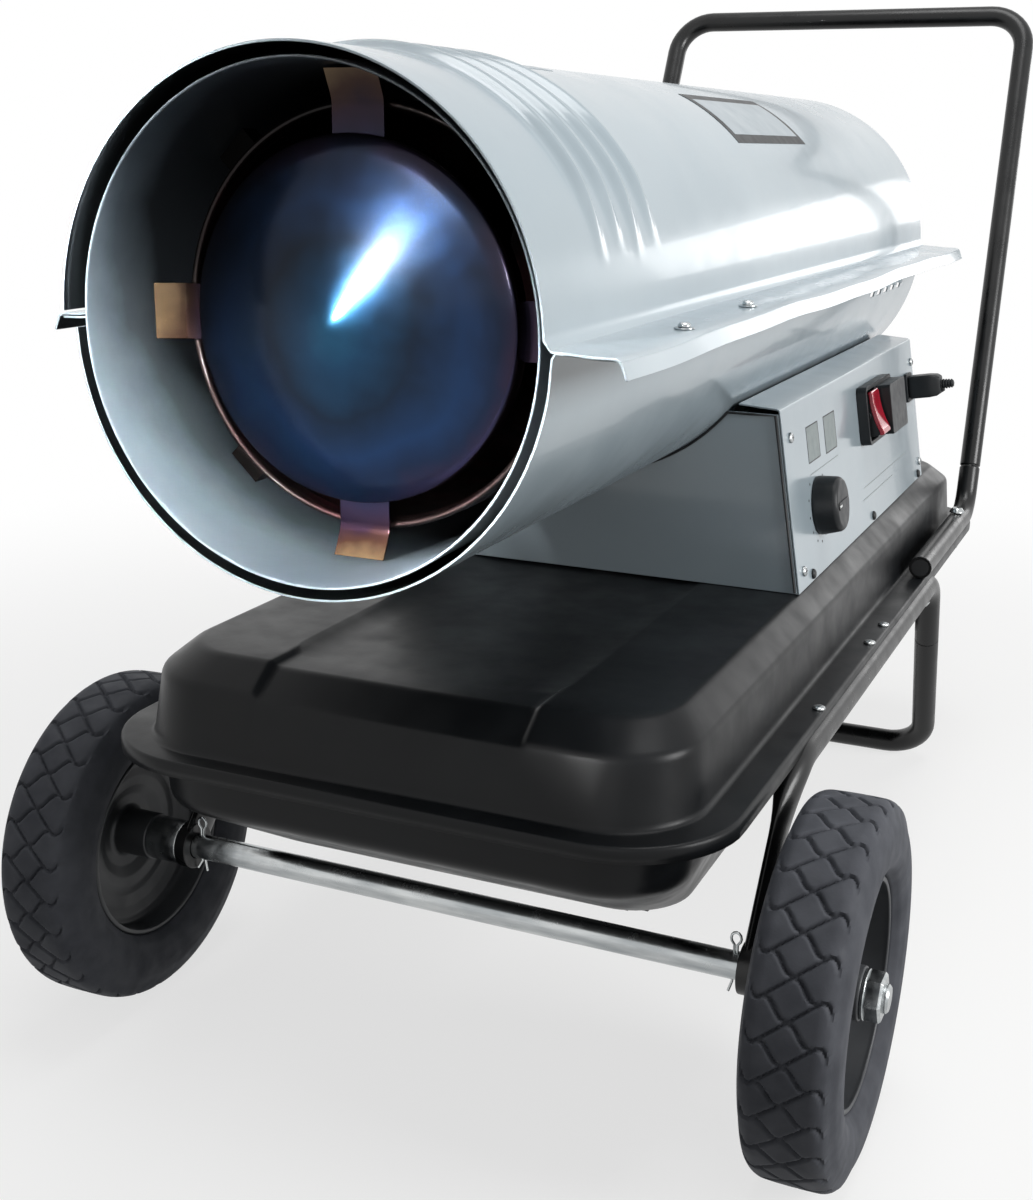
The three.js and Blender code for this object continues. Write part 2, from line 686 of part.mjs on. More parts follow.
// Cone in the outlet, on four tabs behind its rim, whose ends lean forwards to the liner
function coneBaffle() {
  const rim = LINER_FRONT + BAFFLE_SETBACK;
  const inside = BAFFLE_RADIUS - BAFFLE_SHEET;
  const cone = turned([
    [0, rim - BAFFLE_RISE],
    [BAFFLE_RADIUS, rim],
    [BAFFLE_RADIUS, rim + BAFFLE_RIM],
    [inside, rim + BAFFLE_RIM],
    [inside, rim + BAFFLE_SHEET],
    [0, rim - BAFFLE_RISE + BAFFLE_SHEET],
  ]);
  const front = rim + BAFFLE_RIM - BAFFLE_SHEET;
  const back = rim + BAFFLE_RIM;
  const tabs = spacers(TAB_COUNT, TAB_WIDTH, (seat) => {
    const edge = outline([
      [inside, front],
      [seat - TAB_END, front],
      [seat, front - TAB_LEAN],
      [seat, back - TAB_LEAN],
      [seat - TAB_END, back],
      [inside, back],
    ]);
    const tab = new THREE.ExtrudeGeometry(edge, { depth: TAB_WIDTH, bevelEnabled: false });
    return [tab.rotateY(-Math.PI / 2).translate(TAB_WIDTH / 2, 0, 0)];
  });
  return join(cone, ...tabs);
}
add('cone_baffle', moved(coneBaffle(), 0, 0, DRUM_HEIGHT), heatedSteel);

// Combustion chamber: a pot on lugs, open at the front, with a mouth for the burner
function combustionChamber() {
  const front = LINER_FRONT + CHAMBER_SETBACK;
  const inside = CHAMBER_RADIUS - BAFFLE_SHEET;
  const pot = ring([
    [CHAMBER_RADIUS, front],
    [CHAMBER_RADIUS, CHAMBER_REAR],
    [CHAMBER_MOUTH_RADIUS, CHAMBER_REAR],
    [CHAMBER_MOUTH_RADIUS, CHAMBER_REAR - BAFFLE_SHEET],
    [inside, CHAMBER_REAR - BAFFLE_SHEET],
    [inside, front],
  ]);
  const half = CHAMBER_LUG_WIDTH / 2;
  const starts = [front + CHAMBER_LUG_LENGTH, CHAMBER_REAR - 2 * CHAMBER_LUG_LENGTH];
  const lugs = spacers(CHAMBER_LUG_COUNT, CHAMBER_LUG_WIDTH, (seat) => starts.map((start) => {
    const lug = box(-half, half, start, start + CHAMBER_LUG_LENGTH, inside, seat);
    return lug.rotateY(Math.PI / CHAMBER_LUG_COUNT);
  }));
  const body = join(pot, ...lugs);
  return cut(body, rod(inside, front, CHAMBER_REAR - BAFFLE_SHEET, ROUND_STEPS));
}
add('combustion_chamber', moved(combustionChamber(), 0, 0, DRUM_HEIGHT), heatedSteel);

// Burner cup, with the nozzle, the electrode and the flame sensor in its rear plate
const nozzleBore = NOZZLE_RADIUS + GAP;
const probeBore = PROBE_RADIUS + GAP;
const burnerInside = BURNER_RADIUS - BURNER_SHEET;
const burnerCup = ring([
  [BURNER_FLANGE_RADIUS, BURNER_FRONT],
  [BURNER_FLANGE_RADIUS, BURNER_FRONT + BURNER_SHEET],
  [BURNER_RADIUS, BURNER_FRONT + BURNER_SHEET],
  [BURNER_RADIUS, BURNER_REAR],
  [nozzleBore, BURNER_REAR],
  [nozzleBore, BURNER_REAR - BURNER_SHEET],
  [burnerInside, BURNER_REAR - BURNER_SHEET],
  [burnerInside, BURNER_FRONT],
], ROUND_STEPS / 2);
const probeHoles = [-PROBE_OFFSET, PROBE_OFFSET].map((x) =>
  moved(rod(probeBore, BURNER_REAR - BURNER_SHEET - OVERRUN, BURNER_REAR + OVERRUN), x, 0, 0));
add('burner_head', moved(cut(burnerCup, ...probeHoles), 0, 0, DRUM_HEIGHT), bareSteel);

add('fuel_nozzle', moved(turned([
  [0, BURNER_REAR - NOZZLE_REACH - NOZZLE_TIP_LENGTH],
  [NOZZLE_TIP_RADIUS, BURNER_REAR - NOZZLE_REACH - NOZZLE_TIP_LENGTH],
  [NOZZLE_RADIUS, BURNER_REAR - NOZZLE_REACH],
  [NOZZLE_RADIUS, NOZZLE_REAR],
  [0, NOZZLE_REAR],
], SMALL_STEPS), 0, 0, DRUM_HEIGHT), brass);

function probe(x, reach, bodyRadius) {
  const seat = BURNER_REAR + GAP;
  const stem = turned([
    [0, BURNER_REAR - reach],
    [PROBE_RADIUS, BURNER_REAR - reach],
    [PROBE_RADIUS, seat],
    [bodyRadius, seat],
    [bodyRadius, seat + PROBE_BODY_LENGTH],
    [0, seat + PROBE_BODY_LENGTH],
  ], SMALL_STEPS);
  return moved(stem, x, 0, DRUM_HEIGHT);
}
add('ignition_electrode', probe(PROBE_OFFSET, ELECTRODE_REACH, ELECTRODE_BODY_RADIUS), ceramic);
add('flame_sensor', probe(-PROBE_OFFSET, SENSOR_REACH, SENSOR_BODY_RADIUS), darkPlastic);

// Shaft, fan, motor and pump
const shaftBore = SHAFT_RADIUS + GAP;
const pumpFloor = PUMP_FRONT + PUMP_WALL;
const shaftRear = PUMP_FRONT + PUMP_LENGTH - GAP;
add('motor_shaft', moved(rod(SHAFT_RADIUS, FAN_FRONT, shaftRear), 0, 0, DRUM_HEIGHT), bareSteel);

function fan() {
  const middle = FAN_FRONT + FAN_HUB_LENGTH / 2;
  const tipHeight = Math.sqrt(FAN_RADIUS ** 2 - (FAN_BLADE_TIP_WIDTH / 2) ** 2);
  const blade = outline([
    [-FAN_BLADE_ROOT_WIDTH / 2, (FAN_HUB_RADIUS + shaftBore) / 2],
    [FAN_BLADE_ROOT_WIDTH / 2, (FAN_HUB_RADIUS + shaftBore) / 2],
    [FAN_BLADE_TIP_WIDTH / 2, tipHeight],
    [0, FAN_RADIUS],
    [-FAN_BLADE_TIP_WIDTH / 2, tipHeight],
  ]);
  const blades = [];
  for (let i = 0; i < FAN_BLADE_COUNT; i += 1) {
    const plate = plateAcross(blade, -FAN_BLADE_SHEET / 2, FAN_BLADE_SHEET).rotateZ(FAN_BLADE_PITCH);
    blades.push(plate.rotateY((2 * Math.PI * i) / FAN_BLADE_COUNT).translate(0, middle, 0));
  }
  const hub = rod(FAN_HUB_RADIUS, FAN_FRONT, FAN_FRONT + FAN_HUB_LENGTH);
  const bore = rod(shaftBore, FAN_FRONT - OVERRUN, FAN_FRONT + FAN_HUB_LENGTH + OVERRUN);
  return cut(join(hub, ...blades), bore);
}
add('fan', moved(fan(), 0, 0, DRUM_HEIGHT), aluminium);

const bellRadius = MOTOR_RADIUS - MOTOR_BELL_STEP;
add('motor', moved(ring([
  [shaftBore, MOTOR_FRONT],
  [bellRadius, MOTOR_FRONT],
  [MOTOR_RADIUS, MOTOR_FRONT + MOTOR_BELL_LENGTH],
  [MOTOR_RADIUS, MOTOR_REAR - MOTOR_BELL_LENGTH],
  [bellRadius, MOTOR_REAR],
  [shaftBore, MOTOR_REAR],
], ROUND_STEPS / 2), 0, 0, DRUM_HEIGHT), blackEnamel);

function motorBracket() {
  const top = MOTOR_RADIUS + BRACKET_EAR;
  const plate = outline([
    [-BRACKET_HALF_WIDTH, -DRUM_RADIUS],
    [BRACKET_HALF_WIDTH, -DRUM_RADIUS],
    [BRACKET_HALF_WIDTH, BRACKET_EAR],
    [BRACKET_EAR, top],
    [-BRACKET_EAR, top],
    [-BRACKET_HALF_WIDTH, BRACKET_EAR],
  ]);
  const start = MOTOR_FRONT + (MOTOR_LENGTH - BRACKET_SHEET) / 2;
  const disc = (radius, steps) => rod(radius, start - OVERRUN, start + BRACKET_SHEET + OVERRUN, steps);
  const body = overlap(plateAcross(plate, start, BRACKET_SHEET), disc(flareRadius, ROUND_STEPS));
  return cut(body, disc(MOTOR_RADIUS + GAP, ROUND_STEPS / 2));
}
add('motor_bracket', moved(motorBracket(), 0, 0, DRUM_HEIGHT), bareSteel);

const pumpInside = (PUMP_ROTOR_RADIUS + GAP) / Math.cos((2 * Math.PI) / ROUND_STEPS); // clear at its flats
const pumpRear = PUMP_FRONT + PUMP_LENGTH;
add('pump_body', moved(ring([
  [shaftBore, PUMP_FRONT],
  [PUMP_RADIUS, PUMP_FRONT],
  [PUMP_RADIUS, pumpRear],
  [pumpInside, pumpRear],
  [pumpInside, pumpFloor],
  [shaftBore, pumpFloor],
], ROUND_STEPS / 2), 0, 0, DRUM_HEIGHT), aluminium);

add('pump_rotor', moved(ring([
  [shaftBore, pumpFloor + GAP],
  [PUMP_ROTOR_RADIUS, pumpFloor + GAP],
  [PUMP_ROTOR_RADIUS, pumpRear - GAP],
  [shaftBore, pumpRear - GAP],
], ROUND_STEPS / 2), 0, 0, DRUM_HEIGHT), bareSteel);

const coverFront = pumpRear + GAP;
add('pump_filter_cover', moved(turned([
  [0, coverFront],
  [PUMP_RADIUS, coverFront],
  [PUMP_RADIUS, coverFront + PUMP_COVER_LENGTH],
  [FILTER_DOME_RADIUS, coverFront + PUMP_COVER_LENGTH],
  [FILTER_DOME_RADIUS, coverFront + FILTER_DOME_LENGTH],
  [0, coverFront + FILTER_DOME_LENGTH],
], ROUND_STEPS / 2), 0, 0, DRUM_HEIGHT), darkPlastic);

// Rear guard: a disc with ring-shaped slots between its spokes
function rearGuard() {
  const outer = flareRadius - GUARD_RIM;
  const pitch = (outer + GUARD_BAR - GUARD_HUB_RADIUS) / GUARD_RING_COUNT;
  const disc = new THREE.Shape().absarc(0, 0, flareRadius, 0, 2 * Math.PI);
  for (let r = 0; r < GUARD_RING_COUNT; r += 1) {
    const inner = GUARD_HUB_RADIUS + r * pitch;
    const end = inner + pitch - GUARD_BAR;
    const margin = (radius) => Math.asin(GUARD_BAR / 2 / radius);
    for (let s = 0; s < GUARD_SPOKE_COUNT; s += 1) {
      const [from, to] = [s, s + 1].map((k) => (2 * Math.PI * k) / GUARD_SPOKE_COUNT);
      const points = [];
      for (let k = 0; k <= GUARD_SLOT_STEPS; k += 1) {
        const a = from + margin(end) + ((to - from - 2 * margin(end)) * k) / GUARD_SLOT_STEPS;
        points.push(new THREE.Vector2(end * Math.cos(a), end * Math.sin(a)));
      }
      for (let k = GUARD_SLOT_STEPS; k >= 0; k -= 1) {
        const a = from + margin(inner) + ((to - from - 2 * margin(inner)) * k) / GUARD_SLOT_STEPS;
        points.push(new THREE.Vector2(inner * Math.cos(a), inner * Math.sin(a)));
      }
      disc.holes.push(new THREE.Path(points));
    }
  }
  const start = DRUM_REAR - GUARD_SETBACK - GUARD_SHEET;
  const plate = new THREE.ExtrudeGeometry(disc, {
    depth: GUARD_SHEET,
    bevelEnabled: false,
    curveSegments: ROUND_STEPS / 2,
  });
  return plate.rotateX(Math.PI / 2).translate(0, start + GUARD_SHEET, 0);
}
add('rear_guard', moved(rearGuard(), 0, 0, DRUM_HEIGHT), blackPowder);

// Tank: each pan is an outer body less an inner one
function panBody(rings) {
  return loft(rings.map(({ side, end, corner, z }) => tankRing(
    FLANGE_HALF_WIDTH - side, TANK_FRONT + end, TANK_REAR - end, FLANGE_CORNER - corner, z,
  )), seenFromTop);
}

function upperPanRings(skin, start) {
  const shoulder = FLANGE_HEIGHT + WALL_HEIGHT;
  return [
    { side: skin, end: skin, corner: skin, z: start },
    { side: skin, end: skin, corner: skin, z: FLANGE_HEIGHT - skin },
    { side: FLANGE_SIDE + skin, end: FLANGE_END + skin, corner: 2 * CORNER_STEP + skin,
      z: FLANGE_HEIGHT - skin },
    { side: FLANGE_SIDE + WALL_DRAFT + skin, end: FLANGE_END + WALL_END_DRAFT + skin,
      corner: 3 * CORNER_STEP + skin, z: shoulder - skin / 2 },
    { side: FLANGE_SIDE + WALL_DRAFT + CHAMFER_WIDTH + skin / 2,
      end: FLANGE_END + WALL_END_DRAFT + CHAMFER_LENGTH + skin / 2,
      corner: 4 * CORNER_STEP + skin / 2, z: TANK_TOP - skin },
  ];
}

// What the channel takes away from a pan body whose skin is this thick
function channel(skin) {
  const reach = CHANNEL_HALF_WIDTH + skin;
  const region = box(
    -reach, reach,
    TANK_FRONT - OVERRUN, BOX_FRONT + skin,
    FLANGE_HEIGHT + WALL_HEIGHT / 2, TANK_TOP + OVERRUN,
  );
  return cut(region, panBody(upperPanRings(CHANNEL_DEPTH + skin, FLANGE_HEIGHT - LIP_DROP)));
}

const fillerBore = NECK_RADIUS - NECK_SHEET;
const boltYs = [0, 1].map((k) => ARM_FRONT + BOLT_INSET + k * BOLT_PITCH);
const boltEnds = [ARM_Z, ARM_Z + HANDLE_RADIUS + OVERRUN]; // the front bolts end inside the arms
const boltHoleTools = [-RAIL_X, RAIL_X].flatMap((x) => boltYs.map((y, k) => moved(rodZ(
  BOLT_RADIUS + GAP, RAIL_Z - TUBE_RADIUS - OVERRUN, boltEnds[k] + GAP, HOSE_SIDES,
), x, y, 0)));

// Rails under the flange; each bends down to the axle in front and to the stand behind
const standFoot = new THREE.Vector3(STAND_HALF_WIDTH, DRUM_FRONT + STAND_SETBACK, TUBE_RADIUS);
const rearBend = new THREE.Vector3(RAIL_X, DRUM_FRONT + RAIL_REAR_SETBACK, RAIL_Z);
const legLength = rearBend.distanceTo(standFoot);
const alongLeg = (length) => rearBend.clone().lerp(standFoot, length / legLength).toArray();
const railLine = [
  alongLeg(RAIL_LEG),
  rearBend.toArray(),
  [RAIL_X, AXLE_Y + RAIL_BEND_SETBACK, RAIL_Z],
  [LUG_X, AXLE_Y, WHEEL_RADIUS],
];
const railRoom = tube(railLine, TUBE_RADIUS + GAP, RAIL_BEND); // the flange's lip leaves it out

function upperPan() {
  const bottom = FLANGE_HEIGHT - LIP_DROP;
  const outside = cut(panBody(upperPanRings(0, bottom)), channel(0));
  const inside = cut(
    panBody(upperPanRings(TANK_SHEET, bottom - OVERRUN)),
    channel(TANK_SHEET),
  );
  const holes = [[FILLER_X, fillerBore], [GAUGE_X, GAUGE_STEM_RADIUS + GAP]].map(([x, radius]) =>
    moved(rodZ(radius, TANK_TOP - OVERRUN, TANK_TOP + OVERRUN), x, FILLER_Y, 0));
  return cut(outside, inside, ...holes, ...boltHoleTools, railRoom, mirrored(railRoom));
}
add('tank_upper', upperPan(), blackEnamel);

const lowerFlangeTop = FLANGE_HEIGHT - TANK_SHEET - GAP;
const tankBottom = lowerFlangeTop - TANK_SHEET - LOWER_WALL_DROP - LOWER_BEVEL_DROP;
const sumpFront = TANK_FRONT + SUMP_SETBACK;
const drainY = sumpFront + SUMP_LENGTH / 2;

function lowerPanRings(skin, start) {
  const side = FLANGE_SIDE + LOWER_SIDE_STEP + skin;
  const end = FLANGE_END + LOWER_SIDE_STEP + skin;
  const foot = lowerFlangeTop - TANK_SHEET;
  return [
    { side, end, corner: 2 * CORNER_STEP + skin, z: start },
    { side, end, corner: 2 * CORNER_STEP + skin, z: foot },
    { side: side + LOWER_WALL_DRAFT, end: end + LOWER_WALL_DRAFT, corner: 3 * CORNER_STEP + skin,
      z: foot - LOWER_WALL_DROP + skin / 2 },
    { side: side + LOWER_WALL_DRAFT + LOWER_BEVEL_SIDE, end: end + LOWER_WALL_DRAFT + LOWER_BEVEL_END,
      corner: 4 * CORNER_STEP + skin, z: tankBottom + skin },
  ];
}

function sump(skin) {
  const level = (inset, z) => {
    const [x0, x1] = [SUMP_CENTRE_X - SUMP_HALF_WIDTH + inset, SUMP_CENTRE_X + SUMP_HALF_WIDTH - inset];
    const [y0, y1] = [sumpFront + inset, sumpFront + SUMP_LENGTH - inset];
    return [[x1, y1, z], [x0, y1, z], [x0, y0, z], [x1, y0, z]];
  };
  const top = tankBottom + 2 * TANK_SHEET;
  return loft([level(skin, top), level(SUMP_DRAFT + skin, tankBottom - SUMP_DROP + skin)], seenFromTop);
}

function lowerPan() {
  const inset = LOWER_FLANGE_INSET;
  const flangeRing = (z) => ({ side: inset, end: inset, corner: inset, z });
  const flange = panBody([flangeRing(lowerFlangeTop - TANK_SHEET), flangeRing(lowerFlangeTop)]);
  const outside = join(panBody(lowerPanRings(0, lowerFlangeTop)), sump(0), flange);
  const inside = join(panBody(lowerPanRings(TANK_SHEET, lowerFlangeTop + OVERRUN)), sump(TANK_SHEET));
  const drain = moved(
    rodZ(DRAIN_RADIUS + GAP, tankBottom - SUMP_DROP - OVERRUN, tankBottom), SUMP_CENTRE_X, drainY, 0,
  );
  return cut(outside, inside, drain, ...boltHoleTools);
}
add('tank_lower', lowerPan(), blackEnamel);

// Filler neck, strainer, seal and cap, behind the control box
const neckTop = BOX_FLOOR + NECK_HEIGHT;
add('filler_neck', moved(alongZ(ring([
  [fillerBore, BOX_FLOOR],
  [NECK_RADIUS + NECK_FOOT, BOX_FLOOR],
  [NECK_RADIUS + NECK_FOOT, BOX_FLOOR + NECK_SHEET],
  [NECK_RADIUS, BOX_FLOOR + NECK_SHEET],
  [NECK_RADIUS, neckTop],
  [fillerBore, neckTop],
], ROUND_STEPS / 2)), FILLER_X, FILLER_Y, 0), blackEnamel);

const strainerRim = neckTop + GAP;
const strainerRadius = fillerBore - GAP;
add('filler_strainer', moved(alongZ(turned([
  [0, strainerRim - STRAINER_DEPTH],
  [strainerRadius - STRAINER_TAPER, strainerRim - STRAINER_DEPTH],
  [strainerRadius, strainerRim],
  [NECK_RADIUS, strainerRim],
  [NECK_RADIUS, strainerRim + NECK_SHEET],
  [strainerRadius - NECK_SHEET, strainerRim + NECK_SHEET],
  [strainerRadius - NECK_SHEET - STRAINER_TAPER, strainerRim - STRAINER_DEPTH + NECK_SHEET],
  [0, strainerRim - STRAINER_DEPTH + NECK_SHEET],
], SMALL_STEPS)), FILLER_X, FILLER_Y, 0), brass);

const sealFoot = strainerRim + NECK_SHEET + GAP;
add('cap_seal', moved(alongZ(ring([
  [strainerRadius - NECK_SHEET, sealFoot],
  [NECK_RADIUS, sealFoot],
  [NECK_RADIUS, sealFoot + SEAL_SHEET],
  [strainerRadius - NECK_SHEET, sealFoot + SEAL_SHEET],
], SMALL_STEPS)), FILLER_X, FILLER_Y, 0), rubber);

function fuelCap() {
  const roof = sealFoot + SEAL_SHEET + GAP;
  const top = roof + CAP_CROWN;
  const cap = alongZ(turned([
    [0, roof],
    [CAP_RADIUS - CAP_WALL, roof],
    [CAP_RADIUS - CAP_WALL, top - CAP_HEIGHT],
    [CAP_RADIUS, top - CAP_HEIGHT],
    [CAP_RADIUS, top - CAP_WALL],
    [CAP_RADIUS - CAP_WALL, top],
    [0, top],
  ], ROUND_STEPS / 2));
  const grips = [];
  for (let i = 0; i < CAP_GRIP_COUNT; i += 1) {
    const angle = (2 * Math.PI * i) / CAP_GRIP_COUNT;
    const reach = CAP_RADIUS + CAP_GRIP_RADIUS - CAP_WALL / 2;
    const groove = rodZ(CAP_GRIP_RADIUS, top - CAP_HEIGHT - OVERRUN, top + OVERRUN, HOSE_SIDES);
    grips.push(moved(groove, reach * Math.cos(angle), reach * Math.sin(angle), 0));
  }
  return cut(cap, ...grips);
}
add('fuel_cap', moved(fuelCap(), FILLER_X, FILLER_Y, 0), darkPlastic);

add('fuel_gauge', moved(alongZ(turned([
  [0, TANK_TOP - GAUGE_STEM_LENGTH],
  [GAUGE_STEM_RADIUS, TANK_TOP - GAUGE_STEM_LENGTH],
  [GAUGE_STEM_RADIUS, BOX_FLOOR],
  [GAUGE_RADIUS, BOX_FLOOR],
  [GAUGE_RADIUS, BOX_FLOOR + GAUGE_HEIGHT],
  [0, BOX_FLOOR + GAUGE_HEIGHT],
], SMALL_STEPS)), GAUGE_X, FILLER_Y, 0), darkPlastic);

const drainSeat = tankBottom - SUMP_DROP - GAP;
add('drain_plug', moved(join(
  rodZ(DRAIN_RADIUS, drainSeat - DRAIN_HEAD_HEIGHT, drainSeat + DRAIN_STEM),
  rodZ(DRAIN_HEAD_RADIUS, drainSeat - DRAIN_HEAD_HEIGHT, drainSeat, NUT_SIDES),
), SUMP_CENTRE_X, drainY, 0), zinc);

// A rail, with its end pressed flat on the axle
function rail() {
  const pipe = tube(railLine, TUBE_RADIUS, RAIL_BEND);
  const [inner, outer] = [LUG_X - LUG_SHEET / 2, LUG_X + LUG_SHEET / 2];
  const lug = moved(rodX(LUG_RADIUS, inner, outer), 0, AXLE_Y, WHEEL_RADIUS);
  const reach = 2 * LUG_RADIUS;
  const flattened = [[inner - reach, inner], [outer, outer + reach]].map(([start, end]) =>
    box(start, end, AXLE_Y - reach, AXLE_Y + reach, WHEEL_RADIUS - reach, WHEEL_RADIUS + reach));
  const bore = moved(rodX(AXLE_RADIUS + GAP, inner - OVERRUN, outer + OVERRUN), 0, AXLE_Y, WHEEL_RADIUS);
  return cut(join(cut(pipe, ...flattened), lug), bore, ...boltHoleTools);
}
add('frame_rail_right', rail(), blackPowder);
add('frame_rail_left', mirrored(rail()), blackPowder);

// Rear stand: a bent tube that carries the legs on and rests on the ground
const standLeg = [alongLeg(RAIL_LEG + GAP), standFoot.toArray()];
add('rear_stand', tube([
  ...standLeg.map(([x, y, z]) => [-x, y, z]),
  ...standLeg.reverse(),
], TUBE_RADIUS, STAND_BEND), blackPowder);

// Handle: arms lie on the flange, rise beside the control box and lean back
function handle() {
  const arm = (side) => [
    [side * RAIL_X, ARM_FRONT, ARM_Z],
    [side * RAIL_X, HANDLE_FOOT_Y, ARM_Z],
    [side * HANDLE_HALF_WIDTH, HANDLE_TOP_Y, HANDLE_HEIGHT - HANDLE_RADIUS],
  ];
  const pipe = tube([...arm(-1), ...arm(1).reverse()], HANDLE_RADIUS, HANDLE_BEND);
  return cut(pipe, ...boltHoleTools);
}
add('push_handle', handle(), blackPowder);

// Handle bolts: the front ones come from below, through rail and flange; the rear ones from above
const underRail = RAIL_Z - TUBE_RADIUS - GAP;
const onArm = ARM_Z + HANDLE_RADIUS + GAP;
const frontBolt = alongZ(turned([
  [0, underRail - BOLT_HEAD_HEIGHT],
  [BOLT_RADIUS, underRail - BOLT_HEAD_HEIGHT],
  [BOLT_HEAD_RADIUS, underRail],
  [BOLT_RADIUS, underRail],
  [BOLT_RADIUS, ARM_Z],
  [0, ARM_Z],
], SMALL_STEPS));
const rearBolt = alongZ(turned([
  [0, RAIL_Z],
  [BOLT_RADIUS, RAIL_Z],
  [BOLT_RADIUS, onArm],
  [BOLT_HEAD_RADIUS, onArm],
  [BOLT_RADIUS, onArm + BOLT_HEAD_HEIGHT],
  [0, onArm + BOLT_HEAD_HEIGHT],
], SMALL_STEPS));
[-1, 1].forEach((side) => boltYs.forEach((y, k) => {
  const name = `handle_bolt_${side < 0 ? 'left' : 'right'}_${k ? 'rear' : 'front'}`;
  add(name, moved(k ? rearBolt : frontBolt, side * RAIL_X, y, 0), zinc);
}));

// Axle with its cross holes
const cotterX = LUG_X - LUG_SHEET / 2 - COTTER_HEAD_RADIUS - GAP;
const crossHoles = [-cotterX, cotterX].map((x) =>
  moved(rodZ(COTTER_RADIUS + GAP, -AXLE_RADIUS - OVERRUN, AXLE_RADIUS + OVERRUN), x, 0, 0));
const hubOuter = WHEEL_CENTRE_X + HUB_LENGTH / 2;
const nutFoot = hubOuter + GAP;
const axleHalfLength = nutFoot + NUT_HEIGHT + AXLE_END;
const axle = cut(rodX(AXLE_RADIUS, -axleHalfLength, axleHalfLength), ...crossHoles);
add('axle', moved(axle, 0, AXLE_Y, WHEEL_RADIUS), zinc);

// One side of the running gear, built on the right and mirrored for the left
function tyre() {
  const half = TYRE_WIDTH / 2;
  const seat = RIM_RADIUS + GAP;
  const bead = RIM_WIDTH / 2;
  const belly = (WHEEL_RADIUS + seat) / 2;
  return alongX(ring([
    [seat, -bead],
    [belly, -half - TYRE_SIDE_BULGE],
    [WHEEL_RADIUS - TYRE_SHOULDER, -half],
    [WHEEL_RADIUS, TYRE_SHOULDER - half],
    [WHEEL_RADIUS, half - TYRE_SHOULDER],
    [WHEEL_RADIUS - TYRE_SHOULDER, half],
    [belly, half + TYRE_SIDE_BULGE],
    [seat, bead],
  ]));
}

function rim() {
  const bore = AXLE_RADIUS + GAP;
  const half = HUB_LENGTH / 2;
  const inside = RIM_RADIUS - RIM_SHEET;
  const disc = half - DISC_DISH;
  const edge = RIM_WIDTH / 2;
  return alongX(ring([
    [bore, -half],
    [HUB_RADIUS, -half],
    [HUB_RADIUS, disc - DISC_SHEET],
    [inside, -DISC_SHEET],
    [inside, -edge],
    [RIM_RADIUS, -edge],
    [RIM_RADIUS, edge],
    [inside, edge],
    [inside, 0],
    [HUB_RADIUS, disc],
    [HUB_RADIUS, half],
    [bore, half],
  ], RIM_STEPS));
}

const hubInner = WHEEL_CENTRE_X - HUB_LENGTH / 2;
const lugOuter = LUG_X + LUG_SHEET / 2;

function spacer() {
  const bore = AXLE_RADIUS + GAP;
  const [start, end] = [lugOuter + GAP, hubInner - GAP];
  return alongX(ring([
    [bore, start],
    [WASHER_RADIUS, start],
    [WASHER_RADIUS, end],
    [bore, end],
  ], SMALL_STEPS));
}

const nutRadius = NUT_ACROSS / Math.sqrt(3);
const runningGear = [
  ['tyre', moved(tyre(), WHEEL_CENTRE_X, 0, 0), tyreRubber],
  ['wheel_rim', moved(rim(), WHEEL_CENTRE_X, 0, 0), rimEnamel],
  ['hub_spacer', spacer(), zinc],
  ['axle_nut', cut(
    join(
      rodX(WASHER_RADIUS, nutFoot, nutFoot + WASHER_SHEET),
      rodX(nutRadius, nutFoot, nutFoot + NUT_HEIGHT, NUT_SIDES),
    ),
    rodX(AXLE_RADIUS + GAP, nutFoot - OVERRUN, nutFoot + NUT_HEIGHT + OVERRUN),
  ), zinc],
];
for (const [name, geometry, material] of runningGear) {
  add(`${name}_right`, moved(geometry, 0, AXLE_Y, WHEEL_RADIUS), material);
  add(`${name}_left`, moved(mirrored(geometry), 0, AXLE_Y, WHEEL_RADIUS), material);
}

[['right', cotterX], ['left', -cotterX]].forEach(([side, x]) => {
  const pin = turned([
    [0, -COTTER_LENGTH / 2],
    [COTTER_RADIUS, -COTTER_LENGTH / 2],
    [COTTER_RADIUS, COTTER_LENGTH / 2 - COTTER_HEAD_RADIUS],
    [COTTER_HEAD_RADIUS, COTTER_LENGTH / 2],
    [0, COTTER_LENGTH / 2 + COTTER_HEAD_RADIUS],
  ], HOSE_SIDES);
  add(`cotter_pin_${side}`, moved(alongZ(pin), x, AXLE_Y, WHEEL_RADIUS), zinc);
});

// Control box. The panel's frame has X out of the panel, Y along the box and Z up the slope
function panelFrame(side) {
  const frame = new THREE.Group();
  frame.position.set(side * BOX_HALF_WIDTH, BOX_FRONT, BOX_FLOOR);
  frame.rotation.y = -side * PANEL_TILT;
  heater.add(frame);
  return frame;
}

function sidePanel() {
  const face = box(-PANEL_SHEET, 0, 0, BOX_LENGTH, 0, PANEL_HEIGHT);
  const ledge = box(-LEDGE_WIDTH, 0, 0, BOX_LENGTH, -PANEL_SHEET, 0);
  const slope = Math.atan2(LEDGE_RISE, LEDGE_WIDTH);
  ledge.rotateY(PANEL_TILT + slope).translate(0, 0, PANEL_HEIGHT);
  return join(face, ledge);
}

// A hole through the panel, drawn along the box and up the slope
function panelHole(along, up, halfLength, halfHeight) {
  return box(
    -PANEL_SHEET - OVERRUN, OVERRUN, along - halfLength, along + halfLength, up - halfHeight, up + halfHeight,
  );
}

const switchAlong = SWITCH_ALONG + SWITCH_LENGTH / 2;
const switchUp = SWITCH_UP + SWITCH_HEIGHT / 2;
const switchNeck = SWITCH_WALL + GAP; // the housing narrows by this behind its flange
const socketHalf = SOCKET_SIZE / 2;
const right = panelFrame(1);
const left = panelFrame(-1);
const stemBore = KNOB_STEM_RADIUS + GAP;

